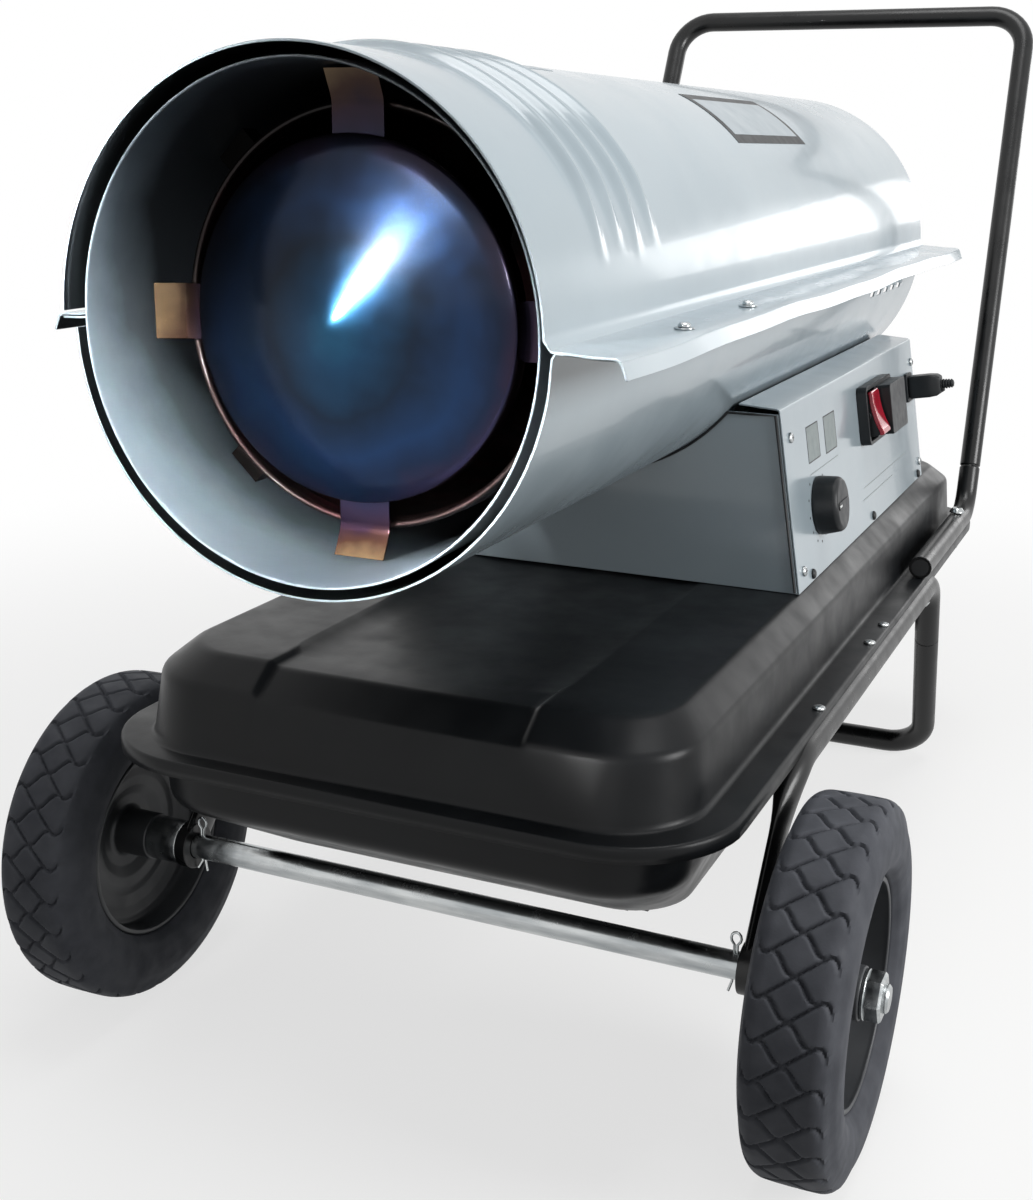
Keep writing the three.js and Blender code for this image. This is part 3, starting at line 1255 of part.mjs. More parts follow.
add('control_panel', cut(
  sidePanel(),
  moved(rodX(stemBore, -PANEL_SHEET - OVERRUN, OVERRUN), 0, KNOB_ALONG, KNOB_UP),
  panelHole(switchAlong, switchUp, SWITCH_LENGTH / 2 - SWITCH_WALL, SWITCH_HEIGHT / 2 - SWITCH_WALL),
  panelHole(SOCKET_ALONG, SOCKET_UP, socketHalf - SOCKET_WALL, socketHalf - SOCKET_WALL),
), paleEnamel, right);
add('left_cover', mirrored(sidePanel()), paleEnamel, left);

// End walls, cut to the drum's curve and to the panels' slope
function endWall(start) {
  const inset = (PANEL_SHEET + GAP) / Math.cos(PANEL_TILT);
  const top = BOX_TOP - PANEL_SHEET - GAP - LEDGE_RISE;
  const foot = BOX_HALF_WIDTH - inset;
  const head = foot - (top - BOX_FLOOR) * Math.tan(PANEL_TILT);
  const wall = plateAcross(
    outline([[-foot, BOX_FLOOR], [foot, BOX_FLOOR], [head, top], [-head, top]]), start, WALL_SHEET,
  );
  const drum = rod(DRUM_RADIUS + GAP, start - OVERRUN, start + WALL_SHEET + OVERRUN, ROUND_STEPS);
  return cut(wall, moved(drum, 0, 0, DRUM_HEIGHT));
}
add('box_front_wall', endWall(BOX_FRONT), paleEnamel);
add('box_rear_wall', endWall(BOX_REAR - WALL_SHEET), paleEnamel);

// Thermostat and its knob
const stemRear = -KNOB_STEM_LENGTH;
const thermostatFront = -PANEL_SHEET - GAP;
const thermostatBody = box(
  thermostatFront - THERMOSTAT_DEPTH, thermostatFront,
  KNOB_ALONG - THERMOSTAT_WIDTH / 2, KNOB_ALONG + THERMOSTAT_WIDTH / 2,
  KNOB_UP - THERMOSTAT_HEIGHT / 2, KNOB_UP + THERMOSTAT_HEIGHT / 2,
);
add('thermostat', cut(
  thermostatBody,
  moved(rodX(stemBore, stemRear - GAP, OVERRUN), 0, KNOB_ALONG, KNOB_UP),
), darkPlastic, right);
add('thermostat_knob', moved(alongX(turned([
  [0, stemRear],
  [KNOB_STEM_RADIUS, stemRear],
  [KNOB_STEM_RADIUS, GAP],
  [KNOB_RADIUS, GAP],
  [KNOB_RADIUS - KNOB_WALL / 2, KNOB_HEIGHT - KNOB_WALL],
  [KNOB_RADIUS - KNOB_WALL, KNOB_HEIGHT],
  [0, KNOB_HEIGHT],
], ROUND_STEPS / 2)), 0, KNOB_ALONG, KNOB_UP), darkPlastic, right);

// Switch housing: a flanged box with a pocket for the rocker and a raised blank cap
const rockerAlong = SWITCH_ALONG + SWITCH_WALL + GAP + ROCKER_WIDTH / 2;
const rockerAxisX = SWITCH_REACH + ROCKER_PROUD - ROCKER_DEPTH;
const pocketHalfHeight = SWITCH_HEIGHT / 2 - SWITCH_WALL;

function switchHousing() {
  const [y0, y1] = [SWITCH_ALONG, SWITCH_ALONG + SWITCH_LENGTH];
  const [z0, z1] = [SWITCH_UP, SWITCH_UP + SWITCH_HEIGHT];
  const frame = box(GAP, SWITCH_REACH, y0, y1, z0, z1);
  const well = box(
    -SWITCH_DEPTH, SWITCH_REACH, y0 + switchNeck, y1 - switchNeck, z0 + switchNeck, z1 - switchNeck,
  );
  const capFront = rockerAlong + ROCKER_WIDTH / 2 + SWITCH_WALL;
  const cap = box(
    0, SWITCH_REACH + SWITCH_CAP_REACH, capFront, y1 - SWITCH_WALL, z0 + SWITCH_WALL, z1 - SWITCH_WALL,
  ).translate(GAP, 0, 0);
  const halfWidth = ROCKER_WIDTH / 2 + GAP;
  const pocket = box(
    rockerAxisX - ROCKER_RADIUS, SWITCH_REACH + OVERRUN, rockerAlong - halfWidth + SWITCH_WALL / 2,
    rockerAlong + halfWidth, switchUp - pocketHalfHeight, switchUp + pocketHalfHeight,
  );
  return cut(join(frame, well, cap), pocket);
}
add('switch_housing', switchHousing(), darkPlastic, right);

// Rocker: pressed at its upper end, it turns about the housing's long direction
function rocker() {
  const half = ROCKER_HEIGHT / 2;
  const face = outline([
    [-ROCKER_DEPTH / 2, -half],
    [ROCKER_DEPTH, -half],
    [ROCKER_DEPTH - SWITCH_WALL / 2, 0],
    [ROCKER_DEPTH, half],
    [-ROCKER_DEPTH / 2, half],
  ]);
  const width = ROCKER_WIDTH - SWITCH_WALL;
  const body = plateAcross(face, -width / 2, width);
  const pocketWidth = ROCKER_WIDTH + 2 * GAP - SWITCH_WALL / 2;
  const pinReach = pocketWidth / 2 - GAP; // its pins end close to the pocket's walls
  return join(body, rod(SWITCH_WALL, -pinReach, pinReach)).rotateY(-ROCKER_TILT);
}
const rockerPlace = [rockerAxisX, rockerAlong + SWITCH_WALL / 4, switchUp];
add('rocker_switch', moved(rocker(), ...rockerPlace), redPlastic, right);

// Socket for a remote thermostat, with the plug that bridges it
const plugHalf = PLUG_SIZE / 2;
const plugNoseHalf = socketHalf - 2 * SOCKET_WALL;

function thermostatSocket() {
  const flange = box(
    GAP, SOCKET_REACH, SOCKET_ALONG - socketHalf, SOCKET_ALONG + socketHalf,
    SOCKET_UP - socketHalf, SOCKET_UP + socketHalf,
  );
  const neck = socketHalf - SOCKET_WALL - GAP;
  const body = box(
    -SOCKET_DEPTH, SOCKET_REACH, SOCKET_ALONG - neck, SOCKET_ALONG + neck, SOCKET_UP - neck, SOCKET_UP + neck,
  );
  const mouth = plugNoseHalf + GAP;
  const pocket = box(
    SOCKET_REACH - PLUG_NOSE_LENGTH - GAP, SOCKET_REACH + OVERRUN,
    SOCKET_ALONG - mouth, SOCKET_ALONG + mouth, SOCKET_UP - mouth, SOCKET_UP + mouth,
  );
  return cut(join(flange, body), pocket);
}
add('thermostat_socket', thermostatSocket(), darkPlastic, right);

function bridgingPlug() {
  const foot = SOCKET_REACH + GAP;
  const [h, n] = [plugHalf, plugNoseHalf];
  const grip = box(foot, foot + PLUG_REACH, -h, h, -h, h);
  const nose = box(foot - PLUG_NOSE_LENGTH, foot + PLUG_REACH / 2, -n, n, -n, n);
  const neck = rodX(PLUG_NECK_RADIUS, foot, foot + PLUG_REACH + PLUG_NECK_LENGTH, SMALL_STEPS);
  return join(grip, nose, neck);
}
add('bridging_plug', moved(bridgingPlug(), 0, SOCKET_ALONG, SOCKET_UP), darkPlastic, right);

// Electrics and fuel filter, standing on the tank inside the box
function circuitBoard() {
  const [x0, x1] = [BOARD_X - BOARD_WIDTH / 2, BOARD_X + BOARD_WIDTH / 2];
  const y0 = BOX_FRONT + BOARD_ALONG;
  const y1 = y0 + BOARD_LENGTH;
  const deck = BOX_FLOOR + BOARD_POST;
  const board = box(x0, x1, y0, y1, deck, deck + BOARD_SHEET);
  const inset = 2 * BOARD_POST_RADIUS;
  const post = rodZ(BOARD_POST_RADIUS, BOX_FLOOR, deck + BOARD_SHEET / 2, HOSE_SIDES);
  const posts = [x0 + inset, x1 - inset].flatMap((x) =>
    [y0 + inset, y1 - inset].map((y) => moved(post, x, y, 0)));
  return join(board, ...posts);
}
add('circuit_board', circuitBoard(), circuitGreen);

function transformer() {
  const y0 = BOX_FRONT + TRANSFORMER_ALONG;
  const [x0, x1] = [TRANSFORMER_X - TRANSFORMER_WIDTH / 2, TRANSFORMER_X + TRANSFORMER_WIDTH / 2];
  const top = BOX_FLOOR + TRANSFORMER_HEIGHT;
  const block = box(x0, x1, y0, y0 + TRANSFORMER_LENGTH, BOX_FLOOR, top);
  const terminal = rod(
    TRANSFORMER_TERMINAL_RADIUS,
    y0 + TRANSFORMER_LENGTH - OVERRUN,
    y0 + TRANSFORMER_LENGTH + TRANSFORMER_TERMINAL_LENGTH,
  );
  return join(block, moved(terminal, TRANSFORMER_X, 0, BOX_FLOOR + TRANSFORMER_HEIGHT / 2));
}
add('ignition_transformer', transformer(), darkPlastic);

const filterTop = BOX_FLOOR + FUEL_FILTER_HEIGHT;
const nippleTop = filterTop + FUEL_FILTER_NIPPLE_LENGTH;
add('fuel_filter', moved(alongZ(turned([
  [0, BOX_FLOOR],
  [FUEL_FILTER_RADIUS, BOX_FLOOR],
  [FUEL_FILTER_RADIUS, filterTop],
  [FUEL_FILTER_NIPPLE_RADIUS, filterTop],
  [FUEL_FILTER_NIPPLE_RADIUS, nippleTop],
  [0, nippleTop],
], SMALL_STEPS)), HOSE_OFFSET, HOSE_Y, 0), brass);

// Hoses: fuel from the filter and air from the pump, both up to the nozzle's foot
const nozzleFoot = DRUM_HEIGHT - NOZZLE_RADIUS - GAP;
const airHoseZ = DRUM_HEIGHT - DRUM_RADIUS - AIR_HOSE_DROP;
add('fuel_hose', tube([
  [HOSE_OFFSET, HOSE_Y, nippleTop + GAP],
  [HOSE_OFFSET, HOSE_Y, nozzleFoot],
], HOSE_RADIUS, HOSE_BEND, HOSE_SIDES), rubber);
add('air_hose', tube([
  [-HOSE_OFFSET, PUMP_HOSE_Y, DRUM_HEIGHT - PUMP_RADIUS - GAP],
  [-HOSE_OFFSET, PUMP_HOSE_Y, airHoseZ],
  [-HOSE_OFFSET, HOSE_Y, airHoseZ],
  [-HOSE_OFFSET, HOSE_Y, nozzleFoot],
], HOSE_RADIUS, HOSE_BEND, HOSE_SIDES), rubber);

export default heater;
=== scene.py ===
# %% [markdown]
# # A diesel heater on wheels, dressed in Blender
#
# The heater is a drum that blows hot air, on a pressed tank of fuel, with two wheels, a stand and a handle.
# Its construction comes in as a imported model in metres: every piece stands where it belongs and stays there.
# This lesson gives each visible piece its fine shape and its real finish. Sizes are written in millimetres.

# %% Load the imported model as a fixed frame
import json
import math

import bmesh
import bpy
from mathutils import Matrix, Vector


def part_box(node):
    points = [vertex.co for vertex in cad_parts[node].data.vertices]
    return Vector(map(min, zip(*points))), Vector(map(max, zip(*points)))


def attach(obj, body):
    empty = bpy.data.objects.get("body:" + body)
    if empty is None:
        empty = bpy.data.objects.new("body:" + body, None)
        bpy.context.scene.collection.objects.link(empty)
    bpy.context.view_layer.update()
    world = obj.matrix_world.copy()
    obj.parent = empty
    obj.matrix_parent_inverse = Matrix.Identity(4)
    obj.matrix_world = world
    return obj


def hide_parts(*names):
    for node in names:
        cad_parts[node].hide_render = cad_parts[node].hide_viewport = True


MM = 0.001
GAP = 0.3  # between pieces that touch
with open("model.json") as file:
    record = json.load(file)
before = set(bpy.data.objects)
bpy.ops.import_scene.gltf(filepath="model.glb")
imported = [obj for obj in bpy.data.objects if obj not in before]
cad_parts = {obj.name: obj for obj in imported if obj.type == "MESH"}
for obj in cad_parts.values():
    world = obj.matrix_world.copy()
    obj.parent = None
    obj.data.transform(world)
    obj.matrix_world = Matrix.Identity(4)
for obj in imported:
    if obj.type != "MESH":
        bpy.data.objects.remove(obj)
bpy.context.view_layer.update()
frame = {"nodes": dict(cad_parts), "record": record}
behaviour = frame["record"]["behaviour"]
BODY_OF = {node: body for body, nodes in behaviour["bodies"].items() for node in nodes}


def box_mm(node):
    """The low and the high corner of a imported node's box, in millimetres."""
    return [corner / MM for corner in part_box(node)]


def plan_centre(low, high):
    """The middle of a box, seen from above."""
    return (low.x + high.x) / 2, (low.y + high.y) / 2


# %% [markdown]
# Colours are written as hex values, as a paint chart or a picture editor gives them. Blender's shaders work
# in linear light, so one function turns a hex value into linear numbers.

# %% Colours
def colour(hex_value, alpha=1.0):
    """A linear colour from an sRGB hex value."""
    channels = []
    for shift in (16, 8, 0):
        share = ((hex_value >> shift) & 255) / 255
        channels.append(share / 12.92 if share <= 0.04045 else ((share + 0.055) / 1.055) ** 2.4)
    return (*channels, alpha)


print("mid grey is", [round(value, 3) for value in colour(0x808080)])


# %% [markdown]
# The camera stands where the photographer stood: in front of the outlet, to the right and a little above.
# Its place and angles were solved from straight edges and circles of known size, so it is set as numbers.
# The picture is taller than it is wide, so the 36 mm of the sensor lie along its height.

# %% Camera
CAMERA_PLACE = (380.2, -1123.9, 539.6)
CAMERA_YAW = 0.42066
CAMERA_PITCH = -0.28360
CAMERA_ROLL = 0.010577
SENSOR, LENS, NEAREST = 36, 46.83, 0.05

scene = bpy.context.scene
camera_data = bpy.data.cameras.new("photo_camera")
camera_data.sensor_width = SENSOR
camera_data.lens = LENS
camera_data.clip_start = NEAREST
camera = bpy.data.objects.new("photo_camera", camera_data)
scene.collection.objects.link(camera)
camera.matrix_world = (
    Matrix.Translation(Vector(CAMERA_PLACE) * MM)
    @ Matrix.Rotation(CAMERA_YAW, 4, "Z")
    @ Matrix.Rotation(math.pi / 2 + CAMERA_PITCH, 4, "X")
    @ Matrix.Rotation(CAMERA_ROLL, 4, "Z"))
scene.camera = camera
scene.view_settings.view_transform = "Standard"
print("camera at", CAMERA_PLACE, "mm")


# %% [markdown]
# ## Materials
#
# A material here is a few nodes on the standard surface shader. One small function adds a node, sets its
# inputs and properties and links it. Patterns are drawn in the object's own space, in metres, so a noise
# whose spots are `size` millimetres wide has the scale `1 / (size * MM)`.

# %% One function for every shader node
def add_node(material, kind, settings=None, links=None):
    """Adds a node, sets its inputs or properties by name, and feeds its inputs from sockets."""
    made = material.node_tree.nodes.new(kind)
    for key, value in (settings or {}).items():
        if key == "stops":
            elements = made.color_ramp.elements
            elements.remove(elements[1])
            elements[0].position, elements[0].color = value[0][0], colour(value[0][1])
            for place, hex_value in value[1:]:
                elements.new(place).color = colour(hex_value)
        elif isinstance(key, int) or key in made.inputs:
            made.inputs[key].default_value = value
        else:
            setattr(made, key, value)
    for key, socket in (links or {}).items():
        material.node_tree.links.new(socket, made.inputs[key])
    return made


def blank_material(name):
    material = bpy.data.materials.new(name)
    material.use_nodes = True
    material.node_tree.nodes.clear()
    return material


def finished(material, surface):
    """Puts the surface on the material's output."""
    add_node(material, "ShaderNodeOutputMaterial", links={"Surface": surface.outputs[0]})
    return material


print("shader helper ready")


# %% [markdown]
# Most finishes here are made the same way, so one function builds them. A wide noise moves the colour
# between two close tones, a second one moves the roughness, as handling and dust do, and a fine one gives
# the surface its grain. What differs is the sizes in millimetres, the tones and the shader's own numbers.

# %% A finish from three noises
def noise_of(material, size_mm, detail=2.0, stretch=(1, 1, 1)):
    """The socket of a noise whose spots are about size_mm wide."""
    place = add_node(material, "ShaderNodeTexCoord").outputs["Object"]
    scaled = add_node(material, "ShaderNodeMapping", {"Scale": stretch}, {"Vector": place})
    made = add_node(material, "ShaderNodeTexNoise", {"Scale": 1 / (size_mm * MM), "Detail": detail},
                    {"Vector": scaled.outputs["Vector"]})
    return made.outputs["Fac"]


def finish(name, tones, tone_mm, rough, rough_mm, grain_mm, grain_depth, settings=None, stretch=(1, 1, 1)):
    """A material from its tones, its roughness range and the depth of its grain, all in millimetres."""
    material = blank_material(name)
    low, high = tones
    tone = add_node(material, "ShaderNodeValToRGB", {"stops": [(0.3, low), (0.7, high)]},
                    {"Fac": noise_of(material, tone_mm, 3, stretch)})
    dull = add_node(material, "ShaderNodeMapRange", {"From Min": 0.3, "From Max": 0.7,
                    "To Min": rough[0], "To Max": rough[1]}, {"Value": noise_of(material, rough_mm, 4)})
    grain = add_node(material, "ShaderNodeBump", {"Distance": grain_depth * MM},
                     {"Height": noise_of(material, grain_mm, 1, stretch)})
    surface = add_node(material, "ShaderNodeBsdfPrincipled", settings, {
        "Base Color": tone.outputs["Color"], "Roughness": dull.outputs["Result"],
        "Normal": grain.outputs["Normal"]})
    return finished(material, surface)


# %% [markdown]
# ### Baked enamel on the shells
#
# The drum and the control box are thin steel, sprayed and baked in a pale blue-grey gloss enamel. Its film
# pulls into a faint orange peel, about 5 mm wide, which makes long highlights waver. A thin clear coat gives
# the sharp part of the gloss. The enamel's IOR is 1.5, as for most paints.

# %% Shell enamel
shell_enamel = finish(
    "baked_enamel_pale_grey", (0x9CAAB2, 0xA7B4BB), 140, (0.16, 0.27), 30, 5, 0.012,
    {"IOR": 1.5, "Coat Weight": 0.3, "Coat Roughness": 0.06})
print(shell_enamel.name)


# %% [markdown]
# ### Enamel inside the outlet
#
# The liner has the same paint, but hot gas has worked on it: it is duller. Its colour darkens with depth,
# which is painted shade in the deep tube, and towards the top, which is partly soot where the heat gathers and
# partly painted shade. The place along the drum and the height drive that darkening.

# %% Liner enamel
liner_low, liner_high = box_mm("heat_liner")
LINER_FRONT = liner_low.y
DRUM_AXIS = (liner_low.z + liner_high.z) / 2
LINER_RADIUS = 117.7
PAINTED_SHADE_DEPTH = 130


def soot_and_shade_dulled(name, stops, rough):
    material = blank_material(name)
    place = add_node(material, "ShaderNodeTexCoord").outputs["Object"]
    parts = add_node(material, "ShaderNodeSeparateXYZ", links={"Vector": place})
    # Painted shade: the colour darkens deeper into the outlet, and towards the top, where it is partly soot
    # and partly painted shade.
    deep = add_node(material, "ShaderNodeMapRange", {
        "From Min": LINER_FRONT * MM, "From Max": (LINER_FRONT + PAINTED_SHADE_DEPTH) * MM},
        {"Value": parts.outputs["Y"]})
    high = add_node(material, "ShaderNodeMapRange", {
        "From Min": (DRUM_AXIS - LINER_RADIUS) * MM, "From Max": (DRUM_AXIS + LINER_RADIUS) * MM,
        "To Max": 0.75}, {"Value": parts.outputs["Z"]})
    both = add_node(material, "ShaderNodeMath", {"operation": "ADD"},
                    {0: deep.outputs["Result"], 1: high.outputs["Result"]})
    patchy = add_node(material, "ShaderNodeMath", {"operation": "MULTIPLY_ADD", 1: 0.25},
                      {0: noise_of(material, 35, 4), 2: both.outputs["Value"]})
    tone = add_node(material, "ShaderNodeValToRGB", {"stops": stops}, {"Fac": patchy.outputs["Value"]})
    grain = add_node(material, "ShaderNodeBump", {"Distance": 0.03 * MM},
                     {"Height": noise_of(material, 5, 1)})
    surface = add_node(material, "ShaderNodeBsdfPrincipled", {"IOR": 1.5, "Roughness": rough}, {
        "Base Color": tone.outputs["Color"], "Normal": grain.outputs["Normal"]})
    return finished(material, surface)


liner_enamel = soot_and_shade_dulled("soot_and_painted_shade_enamel", [
    (0.1, 0xB0BFC7), (0.45, 0x98A7B0), (0.75, 0x4C555B), (1.0, 0x15181B)], 0.42)
print(liner_enamel.name, "from y", round(LINER_FRONT, 1))


# %% [markdown]
# A face that looks towards the drum's axis is painted near black: painted shade on the insides of the shells,
# where the overhang keeps the light out. So the shader compares each face's direction with the way out from
# the axis.

# %% Painted shade inside the shells
shell_surface = next(node for node in shell_enamel.node_tree.nodes if node.type == "BSDF_PRINCIPLED")
shell_tone = shell_surface.inputs["Base Color"].links[0].from_socket
shell_face = add_node(shell_enamel, "ShaderNodeNewGeometry")
way_out = add_node(shell_enamel, "ShaderNodeVectorMath", {
    "operation": "MULTIPLY_ADD", 1: (1, 0, 1), 2: (0, 0, -DRUM_AXIS * MM)},
    {0: shell_face.outputs["Position"]})
facing = add_node(shell_enamel, "ShaderNodeVectorMath", {"operation": "DOT_PRODUCT"}, {
    0: shell_face.outputs["Normal"], 1: way_out.outputs["Vector"]})
inward = add_node(shell_enamel, "ShaderNodeMath", {"operation": "LESS_THAN", 1: -0.1},
                  {0: facing.outputs["Value"]})
# Painted shade: faces that look towards the axis get a near-black colour.
painted_shade_inside = add_node(shell_enamel, "ShaderNodeMix", {"data_type": "RGBA", 7: colour(0x17191A)}, {
    0: inward.outputs["Value"], 6: shell_tone})
shell_enamel.node_tree.links.new(painted_shade_inside.outputs[2], shell_surface.inputs["Base Color"])
print("painted shade inside the shells")


# %% [markdown]
# ### Black coats
#
# The tank is pressed steel with a satin black enamel. The tube work is powder coated: the powder melts into
# a skin with a fine pebbled grain, about half a millimetre wide and drawn at 1.2 mm so that it shows. The
# wheel rims are sprayed in a dark grey.

# %% Black and grey coats
tank_enamel = finish(
    "satin_black_enamel", (0x0C0D0F, 0x141618), 60, (0.28, 0.42), 25, 1.8, 0.02,
    {"IOR": 1.5, "Specular IOR Level": 0.2})
powder_coat = finish(
    "black_powder_coat", (0x0B0C0D, 0x131415), 40, (0.24, 0.36), 20, 1.2, 0.03,
    {"IOR": 1.5, "Specular IOR Level": 0.4})
rim_enamel = finish(
    "dark_grey_rim_enamel", (0x3A3C3F, 0x484A4D), 30, (0.34, 0.48), 20, 2.0, 0.02, {"IOR": 1.5})
print(tank_enamel.name, powder_coat.name, rim_enamel.name)


# %% [markdown]
# ### Heat-tinted steel
#
# The baffle is bare steel that has glowed. An oxide film has grown on it, and its thickness sets the colour:
# straw where it stayed coolest, then purple, then deep blue. So the tint follows the distance from the drum's
# axis, and a noise bends it, because no flame is even. The colour is also scaled by height, lighter towards
# the bottom and darker towards the top: painted light and shade, in the baffle and the chamber alike. It stays
# a metal: the tint is the colour of its reflections. The oxide film has a gloss of its own, which is a thin
# coat here.

# %% Baffle steel
def heat_tinted(name, stops, rough):
    material = blank_material(name)
    place = add_node(material, "ShaderNodeTexCoord").outputs["Object"]
    flat = add_node(material, "ShaderNodeVectorMath", {
        "operation": "MULTIPLY_ADD", 1: (1, 0, 1), 2: (0, 0, -DRUM_AXIS * MM)}, {0: place})
    away = add_node(material, "ShaderNodeVectorMath", {"operation": "LENGTH"}, {0: flat.outputs["Vector"]})
    share = add_node(material, "ShaderNodeMath", {"operation": "DIVIDE", 1: LINER_RADIUS * MM},
                     {0: away.outputs["Value"]})
    patch = add_node(material, "ShaderNodeMapRange", {"To Min": -0.14, "To Max": 0.14},
                     {"Value": noise_of(material, 38, 4)})
    bent = add_node(material, "ShaderNodeMath", {"operation": "ADD"},
                    {0: share.outputs["Value"], 1: patch.outputs["Result"]})
    tone = add_node(material, "ShaderNodeValToRGB", {"stops": stops}, {"Fac": bent.outputs["Value"]})
    level = add_node(material, "ShaderNodeSeparateXYZ", links={"Vector": flat.outputs["Vector"]})
    # Painted light and shade: the colour is scaled up to 3.4 times at the bottom and down to half at the top.
    clear = add_node(material, "ShaderNodeMapRange", {
        "From Min": -LINER_RADIUS * MM, "From Max": 0.2 * LINER_RADIUS * MM, "To Min": 3.4, "To Max": 0.5},
        {"Value": level.outputs["Z"]})
    lit_and_shaded_tone = add_node(material, "ShaderNodeVectorMath", {"operation": "SCALE"}, {
        0: tone.outputs["Color"], "Scale": clear.outputs["Result"]})
    dull = add_node(material, "ShaderNodeMapRange", {"To Min": rough - 0.05, "To Max": rough + 0.09},
                    {"Value": noise_of(material, 9, 5)})
    warp = add_node(material, "ShaderNodeBump", {"Distance": 0.1 * MM}, {"Height": noise_of(material, 14, 2)})
    surface = add_node(material, "ShaderNodeBsdfPrincipled", {
        "Metallic": 1.0, "Coat Weight": 0.25, "Coat Roughness": 0.14}, {
        "Base Color": lit_and_shaded_tone.outputs["Vector"], "Roughness": dull.outputs["Result"],
        "Normal": warp.outputs["Normal"]})
    return finished(material, surface)


baffle_steel = heat_tinted("heat_tinted_steel", [
    (0.0, 0x1E4A66), (0.14, 0x16354F), (0.36, 0x0F1C2C), (0.54, 0x122642), (0.68, 0x0F1A2E),
    (0.76, 0x201A2C), (0.84, 0x241622), (0.9, 0x3A251D), (0.98, 0x66543E)], 0.17)
chamber_steel = heat_tinted("scaled_steel", [
    (0.0, 0x241E1C), (0.5, 0x2C2120), (0.76, 0x3C1C20), (0.83, 0x241B1B), (0.9, 0x1C1817),
    (0.93, 0x0E0C0B)], 0.42)
print(baffle_steel.name, chamber_steel.name)


# %% [markdown]
# ### Plain metals
#
# Bright zinc plate is on the axle, the nuts and the screws: a pale metal with fine lines along the bar.
# Bare steel, cast aluminium and turned brass are inside and on the tank. They differ in colour, in how rough
# they are and in the size of their grain.

# %% Metals
METAL = {"Metallic": 1.0}
zinc_plate = finish(
    "bright_zinc_plate", (0xA2A7A9, 0xCDD0D0), 6, (0.14, 0.3), 8, 2.0, 0.02, METAL, (0.15, 1, 1))
bare_steel = finish("bare_steel", (0x7C8083, 0x9DA1A3), 12, (0.28, 0.45), 8, 1.5, 0.02, METAL)
cast_aluminium = finish("cast_aluminium", (0x8E9193, 0xB4B7B8), 10, (0.36, 0.5), 6, 2.5, 0.05, METAL)
turned_brass = finish("turned_brass", (0x8F7034, 0xC3A052), 8, (0.22, 0.38), 6, 1.2, 0.02, METAL)
print(zinc_plate.name, bare_steel.name, cast_aluminium.name, turned_brass.name)


# %% [markdown]
# ### Rubber and plastics
#
# The tyres are solid rubber: dark grey, dusty, with almost no gloss. The knob, the switch and the plug are
# moulded in black ABS with a spark-eroded texture. The rocker is clear red polycarbonate, smooth as glass,
# and some light gets into it.

# %% Rubber and plastics
tyre_rubber = finish(
    "dusty_tyre_rubber", (0x3C3E44, 0x4E5056), 18, (0.62, 0.78), 12, 1.2, 0.06,
    {"IOR": 1.5, "Specular IOR Level": 0.3})
hose_rubber = finish("black_rubber", (0x141517, 0x1E1F21), 18, (0.5, 0.65), 10, 1.0, 0.03, {"IOR": 1.5})
black_plastic = finish(
    "black_abs_plastic", (0x121517, 0x1B1E21), 18, (0.36, 0.48), 8, 0.9, 0.02,
    {"IOR": 1.54, "Specular IOR Level": 0.3})
red_lens = finish(
    "red_polycarbonate", (0xA60A24, 0xC21634), 12, (0.06, 0.14), 8, 6, 0.004,
    {"IOR": 1.58, "Coat Weight": 0.5, "Coat Roughness": 0.04})
glazed_ceramic = finish("glazed_ceramic", (0xDCD7CA, 0xEAE6DC), 12, (0.12, 0.22), 8, 8, 0.01, {"IOR": 1.5})
green_board = finish("green_circuit_board", (0x14512E, 0x1B6A3D), 9, (0.4, 0.5), 8, 2.5, 0.03, {"IOR": 1.5})
label_ink = finish("black_label_ink", (0x121416, 0x1A1C1E), 12, (0.4, 0.5), 8, 2.0, 0.005, {"IOR": 1.5})
grey_print = finish("grey_panel_print", (0x7E8888, 0x8C9595), 6, (0.4, 0.5), 8, 2.0, 0.005, {"IOR": 1.5})
label_face = finish("satin_label_foil", (0x9AA4AA, 0xAAB3B8), 25, (0.3, 0.42), 12, 3.0, 0.01, {"IOR": 1.5})
dial_white = finish("white_dial_print", (0xD8DAD8, 0xE4E6E4), 12, (0.4, 0.5), 8, 2.0, 0.005, {"IOR": 1.5})
print(tyre_rubber.name, black_plastic.name, red_lens.name)


# %% [markdown]
# ## Shapes
#
# Sheet metal is the same thing again and again: a surface with a thickness. So the main helper takes two
# grids of points, the outer and the inner face of a sheet, and closes them into one body. Cells can be left
# out, and then the sheet has an edge there too: that is how slots, notches and holes are made.

# %% Making a piece and putting it on its body
def round_edges(piece, width, segments=2, sharp=35):
    """Shades round faces smooth and gives every edge over `sharp` degrees a small rounding."""
    piece.data.shade_smooth()
    piece.data.set_sharp_from_angle(angle=math.radians(sharp))
    if width:
        rounding = piece.modifiers.new("edge_rounding", "BEVEL")
        rounding.width = width * MM
        rounding.segments = segments
        rounding.limit_method = "ANGLE"
        rounding.angle_limit = math.radians(sharp)
        rounding.harden_normals = True


